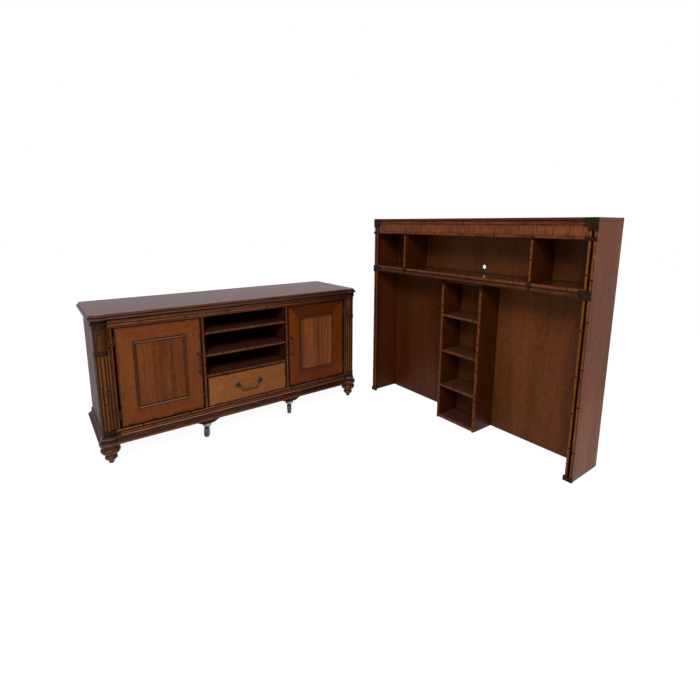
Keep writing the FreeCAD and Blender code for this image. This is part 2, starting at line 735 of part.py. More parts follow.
def door_pull():
    x = DOOR_FREE + PULL_INSET
    low = PULL_MIDDLE - PULL_CENTRES / 2
    high = PULL_MIDDLE + PULL_CENTRES / 2
    grip = rod(V(x, -PULL_STAND, low - 6.0), V(x, -PULL_STAND, high + 6.0), PULL_RADIUS)
    parts = [grip]
    for z in (low, high):
        parts.append(rod(V(x, 0, z), V(x, -PULL_STAND, z), PULL_RADIUS - 0.4))
        parts.append(rod(V(x, 0, z), V(x, -2.5, z), PULL_RADIUS + 2.5))
    return joined(parts)


def hinge_heights():
    return (DOOR_BOTTOM + HINGE_END, DOOR_TOP - HINGE_END - HINGE_LENGTH)


def frame_leaf(low):
    third = HINGE_LENGTH / 3
    axis_low = V(HINGE_X, HINGE_Y, low)
    leaf = box(STILE_INNER - LEAF_THICK, STILE_INNER, 0, DOOR_THICK - 2.0, low, low + HINGE_LENGTH)
    parts = [leaf, rod(axis_low, V(HINGE_X, HINGE_Y, low + HINGE_LENGTH), HINGE_PIN_RADIUS)]
    for start in (low, low + 2 * third):
        parts.append(rod(V(HINGE_X, HINGE_Y, start), V(HINGE_X, HINGE_Y, start + third), KNUCKLE_RADIUS))
        parts.append(box(HINGE_X, STILE_INNER, HINGE_Y - 1.0, HINGE_Y + 1.0, start, start + third))
        parts.append(box(STILE_INNER - LEAF_THICK, STILE_INNER, HINGE_Y - 1.0, 0, start, start + third))
    return joined(parts)


def door_leaf(low):
    third = HINGE_LENGTH / 3
    start = low + third + REST_CLEARANCE
    end = low + 2 * third - REST_CLEARANCE
    leaf = box(DOOR_HINGED, DOOR_HINGED + LEAF_THICK, 0, DOOR_THICK - 2.0, low, low + HINGE_LENGTH)
    web = box(DOOR_HINGED, HINGE_X, HINGE_Y - 1.0, HINGE_Y + 1.0, start, end)
    tie = box(DOOR_HINGED, DOOR_HINGED + LEAF_THICK, HINGE_Y - 1.0, 0, start, end)
    knuckle = rod(V(HINGE_X, HINGE_Y, start), V(HINGE_X, HINGE_Y, end), KNUCKLE_RADIUS)
    bore = rod(V(HINGE_X, HINGE_Y, low), V(HINGE_X, HINGE_Y, low + HINGE_LENGTH),
               HINGE_PIN_RADIUS + PIN_CLEARANCE)
    return joined([leaf, web, tie, knuckle]).cut(bore)


# Drawer: front, dovetailed box, runners and bail handle.
def drawer_front():
    face = box(-DRAWER_HALF, DRAWER_HALF, 0, FACE_THICK, DRAWER_BOTTOM, DRAWER_TOP)
    edges = []
    for z in (DRAWER_BOTTOM + 3.0, DRAWER_TOP - 3.0):
        edges.append(half_round_x(-DRAWER_HALF, DRAWER_HALF, 0, z, 3.0))
    for x in (-DRAWER_HALF + 3.0, DRAWER_HALF - 3.0):
        edges.append(half_round_z(x, 0, DRAWER_BOTTOM, DRAWER_TOP, 3.0))
    return joined([face] + edges)


def drawer_box():
    inner = DRAWER_OUTER - DRAWER_SIDE
    low = RUNNER_TOP + REST_CLEARANCE
    high = DRAWER_TOP - DRAWER_SIDE_DROP
    floor = low + 12.0
    side = box(inner, DRAWER_OUTER, FACE_THICK, DRAWER_DEPTH, low, high)
    back = box(-inner, inner, DRAWER_DEPTH - DRAWER_SIDE, DRAWER_DEPTH, low, high - 10.0)
    bottom = box(-inner, inner, FACE_THICK, DRAWER_DEPTH - DRAWER_SIDE, floor, floor + 8.0)
    return pair(side) + [back, bottom]


def drawer_runner():
    front = FACE_THICK + 1.0
    rest = box(DRAWER_OUTER - 2 * DRAWER_SIDE, PARTITION_INNER, front, BACK_Y, DECK_TOP, RUNNER_TOP)
    guide = box(DRAWER_OUTER + 1.0, PARTITION_INNER, front, BACK_Y, DECK_TOP, 3 * RUNNER_HEIGHT + DECK_TOP)
    return joined([rest, guide])


def rosette():
    x = BAIL_CENTRES / 2
    plate = rod(V(x, 0, BAIL_HEIGHT), V(x, -3.0, BAIL_HEIGHT), ROSETTE_RADIUS)
    dome = Part.makeCone(ROSETTE_RADIUS, 9.0, 5.0, V(x, -3.0, BAIL_HEIGHT), V(0, -1, 0))
    post = rod(V(x, 0, BAIL_HEIGHT), V(x, -BAIL_STAND - 7.0, BAIL_HEIGHT), 7.0)
    bore = rod(V(x - 10.0, -BAIL_STAND, BAIL_HEIGHT), V(x + 3.0, -BAIL_STAND, BAIL_HEIGHT),
               BAIL_RADIUS + PIN_CLEARANCE)
    return joined([plate, dome, post]).cut(bore)


def drawer_bail():
    """A bar swept down from the two eyes, in at the shoulders and level along the bottom."""
    end = BAIL_CENTRES / 2
    y = -BAIL_STAND
    points = [
        V(end + 2.0, y, BAIL_HEIGHT),
        V(end - 14.0, y, BAIL_HEIGHT),
        V(end - 25.0, y, BAIL_HEIGHT - 0.75 * BAIL_DROP),
        V(end - 30.0, y, BAIL_HEIGHT - BAIL_DROP),
    ]
    half = points + [V(0, y, BAIL_HEIGHT - BAIL_DROP)]
    parts = []
    for start, stop in zip(half, half[1:]):
        parts.append(rod(start, stop, BAIL_RADIUS))
    for corner in points[1:]:
        parts.append(Part.makeSphere(BAIL_RADIUS, corner))
    arm = joined(parts)
    return joined(pair(arm))


# Casters under the front plinth, turned as they stand.
def caster_middle(side):
    """The swivel axis of one caster."""
    turn = math.radians(CASTER_TURN)
    return side * CASTER_X + CASTER_TRAIL * math.sin(turn), CASTER_TRAIL * math.cos(turn)


def caster_place(shape, side):
    """Turn a caster piece from its own axes and set it so that its wheel stands on CASTER_X."""
    shape = shape.copy()
    shape.rotate(V(0, 0, 0), V(0, 0, 1), -CASTER_TURN)
    x, y = caster_middle(side)
    return shape.translated(V(x, y, 0))


def caster_wheel():
    half = WHEEL_WIDTH / 2
    crown = 4.0
    profile = [
        (AXLE_RADIUS + PIN_CLEARANCE, -half),
        (0.45 * WHEEL_RADIUS, -half),
        (0.5 * WHEEL_RADIUS, -half + 3.0),
        (0.7 * WHEEL_RADIUS, -half + 3.0),
        (0.75 * WHEEL_RADIUS, -half),
        (WHEEL_RADIUS - crown, -half),
        (WHEEL_RADIUS - 1.0, -half + crown),
        (WHEEL_RADIUS, 0),
    ]
    outline = profile + [(r, -h) for r, h in reversed(profile[:-1])]
    face = polygon([V(h, 0, r) for r, h in outline])
    wheel = face.revolve(V(0, 0, 0), V(1, 0, 0), 360)
    return wheel.translated(V(0, -CASTER_TRAIL, WHEEL_RADIUS))


def caster_fork():
    gap = WHEEL_WIDTH / 2 + 1.0
    crown_z = FORK_TOP - FORK_THICK
    width = FORK_HALF
    axle_y = -CASTER_TRAIL
    cheek_points = [
        V(gap, axle_y - 9.0, WHEEL_RADIUS),
        V(gap, axle_y - 5.0, WHEEL_RADIUS - 7.0),
        V(gap, axle_y + 5.0, WHEEL_RADIUS - 7.0),
        V(gap, axle_y + 9.0, WHEEL_RADIUS),
        V(gap, width, FORK_TOP),
        V(gap, -width, FORK_TOP),
    ]
    cheek = polygon(cheek_points).extrude(V(FORK_THICK, 0, 0))
    crown = box(-gap, gap, -width, width, crown_z, FORK_TOP)
    ring = rod(V(0, 0, crown_z), V(0, 0, FORK_TOP), width + 2.0)
    reach = gap + FORK_THICK + 2.5
    axle = rod(V(-reach, axle_y, WHEEL_RADIUS), V(reach, axle_y, WHEEL_RADIUS), AXLE_RADIUS)
    hole = rod(V(0, 0, crown_z - 1.0), V(0, 0, FORK_TOP + 1.0), KINGPIN_RADIUS + PIN_CLEARANCE)
    return joined([crown, ring, axle] + pair(cheek)).cut(hole)


def caster_plate():
    along = PLATE_LENGTH / 2
    across = PLATE_WIDTH / 2
    plate = box(-along, along, -across, across, PLATE_BOTTOM, SHIM_BOTTOM)
    low = FORK_TOP - FORK_THICK - SWIVEL_CLEARANCE
    kingpin = rod(V(0, 0, low), V(0, 0, SHIM_BOTTOM), KINGPIN_RADIUS)
    head = rod(V(0, 0, low - KINGPIN_HEAD), V(0, 0, low), 1.6 * KINGPIN_RADIUS)
    return joined([plate, kingpin, head])


def caster_shim(side):
    x, y = caster_middle(side)
    half = SHIM_WIDTH / 2
    return box(x - half, x + half, y - half - 8.0, y + half, SHIM_BOTTOM, BLOCK_BOTTOM)


def caster_block(side):
    x, y = caster_middle(side)
    rise = PLINTH_BOTTOM - BLOCK_BOTTOM
    run = (BLOCK_LENGTH - BLOCK_FLAT) / 2
    flat = BLOCK_FLAT / 2
    steps = 8
    wave = []
    for i in range(steps + 1):
        share = i / steps
        wave.append(V(flat + share * run, 0, rise * (1 - math.cos(math.pi * share)) / 2))
    outline = wave + [V(-point.x, 0, point.z) for point in reversed(wave)]
    block = polygon(outline).extrude(V(0, BLOCK_DEPTH, 0))
    return block.translated(V(x, y - 0.57 * BLOCK_DEPTH, BLOCK_BOTTOM))


# Hutch, drawn facing the front before it is turned.
def hutch_side():
    return box(HUTCH_INNER, HUTCH_HALF, HUTCH_FACE, HUTCH_DEPTH, 0, HUTCH_TOP_UNDER)


def hutch_stile():
    flat = box(HUTCH_STILE_INNER, HUTCH_HALF, HUTCH_REED, HUTCH_FACE, 0, HUTCH_TOP_UNDER)
    reeds = [
        half_round_z(HUTCH_STILE_INNER + HUTCH_REED, HUTCH_REED, 0, HUTCH_TOP_UNDER, HUTCH_REED),
        half_round_z(HUTCH_HALF - HUTCH_REED, HUTCH_REED, 0, HUTCH_TOP_UNDER, HUTCH_REED),
    ]
    groove = box(HUTCH_STILE_INNER + 2 * HUTCH_REED, HUTCH_HALF - 2 * HUTCH_REED, HUTCH_REED,
                 HUTCH_REED + STILE_GROOVE, 0, HUTCH_TOP_UNDER)
    return joined([flat] + reeds).cut(groove)


def hutch_top():
    return round_fronted(-HUTCH_HALF, HUTCH_HALF, 0, HUTCH_DEPTH, HUTCH_TOP_UNDER, HUTCH_HEIGHT)


def hutch_back():
    half = HUTCH_INNER
    panel = box(-half, half, HUTCH_BACK_FRONT, HUTCH_BACK_FRONT + BACK_THICK, 0, HUTCH_TOP_UNDER)
    rear = HUTCH_BACK_FRONT + BACK_THICK
    hole = rod(V(HOLE_X, HUTCH_BACK_FRONT, HOLE_Z), V(HOLE_X, rear, HOLE_Z), HOLE_RADIUS)
    return panel.cut(hole)


def wire_grommet():
    front = V(HOLE_X, HUTCH_BACK_FRONT - GROMMET_LIP, HOLE_Z)
    seat = V(HOLE_X, HUTCH_BACK_FRONT, HOLE_Z)
    rear = V(HOLE_X, HUTCH_BACK_FRONT + BACK_THICK, HOLE_Z)
    rim = rod(front, seat, HOLE_RADIUS + GROMMET_RIM)
    tube = rod(seat, rear, HOLE_RADIUS - PIN_CLEARANCE)
    bore = rod(front, rear, HOLE_RADIUS - GROMMET_WALL)
    return joined([rim, tube]).cut(bore)


def hutch_frieze():
    return box(-HUTCH_STILE_INNER, HUTCH_STILE_INNER, HUTCH_REED, HUTCH_FACE, FRIEZE_LOW, HUTCH_TOP_UNDER)


def hutch_reeds():
    half = HUTCH_STILE_INNER
    heights = (UPPER_REED_Z, FRIEZE_LOW + HUTCH_REED)
    return [half_round_x(-half, half, HUTCH_REED, z, HUTCH_REED) for z in heights]


def hutch_shelf():
    half = HUTCH_STILE_INNER
    lip = round_fronted(-half, half, 0, HUTCH_FACE, HUTCH_SHELF_UNDER, HUTCH_SHELF_TOP)
    board = box(-HUTCH_INNER, HUTCH_INNER, HUTCH_FACE, HUTCH_BACK_FRONT, HUTCH_SHELF_UNDER, HUTCH_SHELF_TOP)
    return joined([lip, board])


def hutch_rail():
    half = HUTCH_STILE_INNER
    flat = box(-half, half, HUTCH_REED, HUTCH_FACE, HUTCH_RAIL_BOTTOM, HUTCH_SHELF_UNDER)
    return joined([flat, half_round_x(-half, half, HUTCH_REED, RAIL_REED_Z, HUTCH_REED)])


def hutch_partition():
    half = PARTITION_THICK / 2
    left = PARTITION_X - half
    right = PARTITION_X + half
    board = box(left, right, HUTCH_FACE, HUTCH_BACK_FRONT, HUTCH_SHELF_TOP, HUTCH_TOP_UNDER)
    front = box(left, right, half, HUTCH_FACE, HUTCH_SHELF_TOP, FRIEZE_LOW)
    reed = half_round_z(PARTITION_X, half, HUTCH_SHELF_TOP, FRIEZE_LOW, half)
    return joined([board, front, reed])


def tower_side():
    half = BOARD / 2
    middle = TOWER_HALF - half
    board = box(TOWER_HALF - BOARD, TOWER_HALF, TOWER_FRONT + half, HUTCH_BACK_FRONT, 0, HUTCH_SHELF_UNDER)
    return joined([board, half_round_z(middle, TOWER_FRONT + half, 0, HUTCH_SHELF_UNDER, half)])


def tower_shelves():
    half = TOWER_HALF - BOARD
    front = TOWER_FRONT + BOARD / 2
    back = HUTCH_BACK_FRONT
    shelves = [box(-half, half, front, back, 0, TOWER_FLOOR)]
    edge = TOWER_FRONT + TOWER_SHELF_SETBACK
    for i in range(1, TOWER_CUBBIES):
        low = i * TOWER_PITCH - SHELF_THICK
        shelves.append(round_fronted(-half, half, edge, back, low, low + SHELF_THICK))
    return shelves


def tower_rail():
    half = TOWER_HALF - BOARD
    front = TOWER_FRONT + BOARD / 2
    rail = box(-half, half, front, front + BOARD, TOWER_RAIL_BOTTOM, HUTCH_SHELF_UNDER)
    bead = half_round_x(-half, half, front, TOWER_RAIL_BOTTOM + TOWER_RAIL_BEAD, TOWER_RAIL_BEAD)
    return joined([rail, bead])


def wrapped(x0, x1, y_front, y_back, z0, z1, members):
    """A dark wrapped band: a shallow block in front, hollowed round the reeds that it binds."""
    band = box(x0, x1, y_front, y_back, z0, z1)
    for member in members:
        band = band.cut(member)
    return band


def upright(x, y, radius):
    return rod(V(x, y, 0), V(x, y, HUTCH_HEIGHT), radius + WRAP_CLEARANCE)


def level(y, z, radius):
    return rod(V(0, y, z), V(HUTCH_WIDTH, y, z), radius + WRAP_CLEARANCE)


def hutch_bindings():
    """The bands on the right half of the front: corners, rails, partition ends, tower tops and feet."""
    reed = HUTCH_REED
    half_shelf = HUTCH_SHELF_THICK / 2
    half_post = PARTITION_THICK / 2
    stile = [upright(HUTCH_STILE_INNER + reed, reed, reed), upright(HUTCH_HALF - reed, reed, reed)]
    top_edge = level(HUTCH_TOP / 2, HUTCH_HEIGHT - HUTCH_TOP / 2, HUTCH_TOP / 2)
    upper_reed = level(reed, UPPER_REED_Z, reed)
    lower_reed = level(reed, FRIEZE_LOW + reed, reed)
    shelf_edge = level(half_shelf, HUTCH_SHELF_TOP - half_shelf, half_shelf)
    rail_reed = level(reed, RAIL_REED_Z, reed)
    post = upright(PARTITION_X, half_post, half_post)
    outer = HUTCH_HALF + WRAP
    inner = HUTCH_STILE_INNER
    corner_low = UPPER_REED_Z - reed
    bands = [
        wrapped(inner - 6.0, outer, -WRAP, reed, 0, FOOT_BAND, stile),
        wrapped(inner - WRAP_REACH, outer, -WRAP, reed, HUTCH_RAIL_BOTTOM - 6.0, HUTCH_SHELF_TOP - 4.0,
                stile + [shelf_edge, rail_reed]),
        wrapped(inner - 15.0, outer, -WRAP, reed, FRIEZE_LOW - 4.0, FRIEZE_LOW + 16.0, stile + [lower_reed]),
        joined([
            wrapped(inner - WRAP_REACH, outer, -WRAP, reed, corner_low, HUTCH_HEIGHT,
                    stile + [top_edge, upper_reed]),
            wrapped(inner - WRAP, outer, -WRAP, reed, corner_low - STILE_WRAP, corner_low, stile),
        ]),
    ]
    post_half = half_post + SLIM_WRAP
    post_spans = (
        (RAIL_REED_Z - reed, HUTCH_SHELF_TOP + 6.0, [post, shelf_edge, rail_reed]),
        (FRIEZE_LOW - 10.0, FRIEZE_LOW + 14.0, [post, lower_reed]),
    )
    for low, high, members in post_spans:
        bands.append(wrapped(PARTITION_X - post_half, PARTITION_X + post_half, -SLIM_WRAP, reed,
                             low, high, members))
    tower_x = TOWER_HALF - BOARD / 2
    tower_y = TOWER_FRONT + BOARD / 2
    tower_reed = upright(tower_x, tower_y, BOARD / 2)
    bands.append(wrapped(TOWER_HALF - BOARD - SLIM_WRAP, TOWER_HALF + SLIM_WRAP, TOWER_FRONT - SLIM_WRAP,
                         tower_y - TOWER_RAIL_BEAD, TOWER_RAIL_BOTTOM - 26.0, TOWER_RAIL_BOTTOM + 8.0,
                         [tower_reed]))
    return bands


# Placing and writing.
def on_base(shapes):
    return [shape.translated(V(-MIDDLE_X, -MIDDLE_Y, 0)) for shape in shapes]


def on_hutch(shapes):
    placed = []
    for shape in shapes:
        turned_shape = shape.copy()
        turned_shape.rotate(V(0, 0, 0), V(0, 0, 1), -90)
        placed.append(turned_shape.translated(V(HUTCH_FRONT_X - MIDDLE_X, HUTCH_MIDDLE_Y - MIDDLE_Y, 0)))
    return placed


def write(name, shapes):
    solids = []
    for shape in shapes:
        solids += shape.Solids
    whole = solids[0] if len(solids) == 1 else Part.makeCompound(solids)
    whole.exportStep("parts/" + name + ".step")


def base_nodes():
    pins = [shelf_pin(place, PIN_RADIUS, 0) for place in shelf_pin_places()]
    leaves = [frame_leaf(low) for low in hinge_heights()]
    door_leaves = [door_leaf(low) for low in hinge_heights()]
    bindings = column_bindings()
    front_feet = pair(foot(COLUMN_X, COLUMN_Y, FOOT_CUP_RADIUS))
    rear_feet = pair(foot(REAR_FOOT_X, REAR_FOOT_Y, REAR_CUP_RADIUS))
    nodes = {
        "base_top": [base_top()],
        "side_cornices": pair(side_cornice()),
        "base_frieze": [base_frieze()],
        "right_side_panel": [side_panel()],
        "left_side_panel": [mirrored(side_panel())],
        "right_partition": [partition()],
        "left_partition": [mirrored(partition())],
        "base_deck": [base_deck()],
        "base_back": [base_back()],
        "base_bottom_rail": [base_bottom_rail()],
        "face_stiles": pair(face_stile()),
        "centre_posts": pair(centre_post()),
        "bay_floor": [bay_floor()],
        "bay_shelves": [bay_shelf(UPPER_SHELF_TOP), bay_shelf(LOWER_SHELF_TOP)],
        "cabinet_shelves": pair(cabinet_shelf()),
        "shelf_pins": pins + [mirrored(pin) for pin in pins],
        "right_column": [column()],
        "left_column": [mirrored(column())],
        "column_bindings": bindings + [mirrored(band) for band in bindings],
        "plinth_front": [plinth_front()],
        "plinth_sides": pair(plinth_side()),
        "turned_feet": front_feet + rear_feet,
        "frame_hinge_leaves": leaves + [mirrored(leaf) for leaf in leaves],
        "drawer_runners": pair(drawer_runner()),
        "right_door_frame": door_frame(),
        "right_door_panel": [door_panel()],
        "right_door_moulding": door_moulding(),
        "right_pull": [door_pull()],
        "right_hinge_leaves": door_leaves,
        "left_door_frame": [mirrored(member) for member in door_frame()],
        "left_door_panel": [mirrored(door_panel())],
        "left_door_moulding": [mirrored(strip) for strip in door_moulding()],
        "left_pull": [mirrored(door_pull())],
        "left_hinge_leaves": [mirrored(leaf) for leaf in door_leaves],
        "drawer_front": [drawer_front()],
        "drawer_box": drawer_box(),
        "pull_rosettes": pair(rosette()),
        "drawer_bail": [drawer_bail()],
        "caster_blocks": [caster_block(-1), caster_block(1)],
        "caster_shims": [caster_shim(-1), caster_shim(1)],
        "caster_plates": [caster_place(caster_plate(), -1), caster_place(caster_plate(), 1)],
        "left_caster_fork": [caster_place(caster_fork(), -1)],
        "right_caster_fork": [caster_place(caster_fork(), 1)],
        "left_caster_wheel": [caster_place(caster_wheel(), -1)],
        "right_caster_wheel": [caster_place(caster_wheel(), 1)],
    }
    return nodes


def hutch_nodes():
    bindings = hutch_bindings()
    nodes = {
        "hutch_top": [hutch_top()],
        "hutch_right_side": [hutch_side()],
        "hutch_left_side": [mirrored(hutch_side())],
        "hutch_stiles": pair(hutch_stile()),
        "hutch_back": [hutch_back()],
        "wire_grommet": [wire_grommet()],
        "hutch_frieze": [hutch_frieze()],
        "hutch_reeds": hutch_reeds(),
        "hutch_shelf": [hutch_shelf()],
        "hutch_rail": [hutch_rail()],
        "hutch_partitions": pair(hutch_partition()),
        "tower_sides": pair(tower_side()),
        "tower_shelves": tower_shelves(),
        "tower_rail": [tower_rail()],
        "hutch_bindings": bindings + [mirrored(band) for band in bindings],
    }
    return nodes


for node, made in base_nodes().items():
    write(node, on_base(made))
for node, made in hutch_nodes().items():
    write(node, on_hutch(made))
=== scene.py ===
"""Looks of a two-piece china hutch: stained woods, bamboo nodes, fine reeds, floor, light and camera."""
import math
import random

import bmesh
import bpy
from mathutils import Matrix, Vector


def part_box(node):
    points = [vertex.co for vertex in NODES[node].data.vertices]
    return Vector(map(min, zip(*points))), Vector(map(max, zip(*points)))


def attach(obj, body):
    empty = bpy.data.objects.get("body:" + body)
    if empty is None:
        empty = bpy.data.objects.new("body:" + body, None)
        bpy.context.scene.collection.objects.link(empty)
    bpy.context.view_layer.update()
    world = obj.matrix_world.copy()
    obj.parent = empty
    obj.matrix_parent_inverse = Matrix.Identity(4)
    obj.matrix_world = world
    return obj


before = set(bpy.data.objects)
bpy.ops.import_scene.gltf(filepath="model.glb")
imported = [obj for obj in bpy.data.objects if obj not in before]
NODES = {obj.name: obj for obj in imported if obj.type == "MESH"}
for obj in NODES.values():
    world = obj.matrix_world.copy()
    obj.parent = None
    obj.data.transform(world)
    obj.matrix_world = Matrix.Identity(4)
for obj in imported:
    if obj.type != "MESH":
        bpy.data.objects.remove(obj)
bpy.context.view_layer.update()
X, Y, Z = range(3)


def node_low(name, axis):
    """Lower end of a CAD node along one axis, in metres to a tenth of a millimetre."""
    return round(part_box(name)[0][axis], 4)


def node_high(name, axis):
    """Upper end of a CAD node along one axis, rounded alike."""
    return round(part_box(name)[1][axis], 4)


def node_middle(name, axis):
    """Middle of a CAD node along one axis, rounded alike."""
    low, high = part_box(name)
    return round((low[axis] + high[axis]) / 2, 4)


def node_half(name, axis):
    """Half the length of a CAD node along one axis, rounded alike."""
    low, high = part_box(name)
    return round((high[axis] - low[axis]) / 2, 4)


# Middle and front of the two units in the shared frame, in metres.
BASE_X = node_middle("base_top", X)
BASE_Y = node_high("left_pull", Y)
HUTCH_X = node_low("hutch_top", X)
HUTCH_Y = node_middle("hutch_top", Y)

# Doors, seen from the front: middle out from the base's middle, middle height and half sizes, in metres.
DOOR_OUT = node_middle("right_door_frame", X) - BASE_X
DOOR_Z = node_middle("right_door_frame", Z)
DOOR_HALF_WIDE = node_half("right_door_frame", X)
DOOR_HALF_TALL = node_half("right_door_frame", Z)
DOOR_MEMBER = 0.104
DOOR_SMUDGE = 0.025
MOULDING_HALF = 0.0085
MOULDING_CREST = (0.0012, 0.0035)

# Fine reeds of a door panel: the panel's face, and a reed's width, rise, seat and half length, in metres.
PANEL_FACE = node_low("right_door_panel", Y)
PANEL_REED = 0.0098
PANEL_REED_RISE = 0.0012
PANEL_REED_SEAT = 0.0003
PANEL_REED_HALF_TALL = 0.208
PANEL_REED_COUNT = 30
PANEL_REED_STEPS = 6

# Drawer front: middle height, half sizes and pitch of its weave, in metres.
DRAWER_Z = node_middle("drawer_front", Z)
DRAWER_HALF_WIDE = node_half("drawer_front", X)
DRAWER_HALF_TALL = node_half("drawer_front", Z)
DRAWER_SMUDGE = 0.02
WEAVE_PITCH = 0.0052

# Top board of the base, in metres: heights in its edge, end of its turrets, and where its painted light and
# shade change.
TOP_FLAT_Z = 0.9285
TOP_ROLL_Z = 0.9225
TOP_LEDGE_Z = 0.9155
TOP_NOSE_Z = 0.9075
TOP_COVE_Z = 0.9
TOP_ROLL_HALF = 0.004
TOP_LEDGE_HALF = 0.003
TOP_COVE_FADE = 0.003
TURRET_END = 0.075
TURRET_FADE = 0.004
TOP_NEAR_X = -0.8
TOP_FAR_X = 0.4
# Where the painted shade towards the right is darkest, out from the base's middle.
RIGHT_SHADE_X = 0.85

# Columns, rails, plinth, sides and bay of the base, in metres.
COLUMN_OUT = 0.905
COLUMN_BACK = 0.023
COLUMN_RADIUS = 0.04
COLUMN_REEDS_LOW = 0.2215
COLUMN_REEDS_HIGH = 0.6845
COLUMN_PLAIN_LOW = 0.717
COLUMN_PLAIN_HIGH = 0.842
COLUMN_HEAD_FADE = 0.02
FRIEZE_BEAD_Z = 0.8615
FRIEZE_BEAD = 0.0065
RAIL_BEAD_Z = 0.2045
RAIL_BEAD = 0.0045
LOBE_REACH = 0.07
LOBE_FADE = 0.012
LOBE_COLLAR_Z = 0.178
LOBE_ROLLS_Z = (0.135, 0.166)
LOBE_ROLL_HALF = 0.007
PLINTH_ROLL_Z = 0.1315
PLINTH_ROLL_HALF = 0.006
PLINTH_BEAD_Z = 0.1704
PLINTH_BEAD = 0.0055
SLOPE_LOW = 0.139
SLOPE_HIGH = 0.163
PLINTH_BLUR = 0.002
SIDE_PANEL_LOW = node_low("left_side_panel", Z)
SIDE_DARKENING_RISE = 0.11
BAY_SHELF_EDGE = 0.006

# Upright reeds of the base: middles out from its centre and radius, in metres.
STILE_REEDS = (0.8485, 0.8595)
STILE_REED = 0.0055
# Stile crest kept in the stain; painted shade darkens the stile beyond its half width.
STILE_CREST = (0.853,)
STILE_CREST_HALF = 0.0085
POST_REEDS = (0.3125,)
POST_REED = 0.0065

# Hutch: its stiles' reeds and its partitions, by their middles out from its centre and radius, in metres.
HUTCH_REEDS = (0.855, 0.881)
HUTCH_REED = 0.009
PARTITION_OUT = 0.53

# Where the hutch's finish and painted light change: heights, distances and half widths of lines, in metres.
HUTCH_SHELF_Z = 1.1
HUTCH_JOINT_Z = 1.476
HUTCH_JOINT_HALF = 0.003
SIDE_SCORE_BACK = 0.034
SIDE_SCORE_HALF = 0.0022
SIDE_PALE_LOW = 0.2
SIDE_PALE_HIGH = 0.6
PALE_PATCH_LOW = 1.15
PALE_PATCH_HIGH = 1.25
BACK_FADE = 0.35

# How far back from the hutch's front the worn front edge of each board ends, in metres.
PARTITION_EDGE = 0.008
LONG_SHELF_EDGE = 0.01
TOWER_SIDE_EDGE = 0.0525
TOWER_SHELF_EDGE = 0.055

# The camera that took the photograph: metres, degrees, and millimetres for lens and sensor.
CAMERA_PLACE = (-1.4535, -2.211, 1.454)
CAMERA_HEADING = (0.5994, 0.8004)
CAMERA_PITCH = 10.2374
CAMERA_ROLL = 0.2884
CAMERA_LENS = 22.259
CAMERA_SENSOR = 36.0
CAMERA_SHIFT_Y = -0.0685

# Floor and light: lengths in metres, and the lamp's power in watts.
SKY = 0.26
SKY_TINT = (1.0, 0.98, 0.96, 1.0)
FLOOR_WHITE = 0.955
FLOOR_GREY = (0.78, 0.78, 0.78, 1.0)
FLOOR_HALF = 40.0
FLOOR_DROP = 0.0005
KEY_PLACE = (-2.6, -3.0, 3.9)
KEY_TARGET = (0.0, 0.2, 0.5)
KEY_SIZE = (2.0, 1.6)
KEY_WATTS = 168.0


def base_place(u, v, z):
    """A point of the base cabinet: across, back from the front and up, in metres."""
    return Vector((BASE_X + u, BASE_Y + v, z))


def hutch_place(u, v, z):
    """A point of the hutch, in metres from its middle, front and foot."""
    return Vector((HUTCH_X + v, HUTCH_Y - u, z))


def shade(red, green, blue):
    """A colour given as display bytes, in the linear values that shaders take."""
    linear = []
    for part in (red, green, blue):
        share = part / 255
        linear.append(share / 12.92 if share <= 0.04045 else ((share + 0.055) / 1.055) ** 2.4)
    return (*linear, 1.0)


# Finish, in metres: depth of bumps, softness of borders, reach of glaze and painted shade, rubbed line and
# pitch of strands.
STREAK_DEPTH = 0.0003
FAINT_DEPTH = 0.0002
CANE_DEPTH = 0.0008
BORDER_BLUR = 0.001
ZONE_BLUR = 0.01
NEAR_REACH = 0.012
PANEL_REACH = 0.015
WIDE_REACH = 0.02
RUBBED_LINE = (0.003, 0.006)
STRAND_PITCH = 0.0045

# Sheen and shared colours.
TOP_SHEEN = 0.16
SIDE_SHEEN = 0.03
SHEEN_ROUGHNESS = 0.3
SHEEN_TINT = (0.5, 0.42, 1.0, 1.0)
# Dark glaze, and also the colour of painted shade in corners, grooves and hollows.
GLAZE_AND_SHADE = shade(22, 10, 5)
PALE_PATCH_TONE = shade(182, 154, 128)


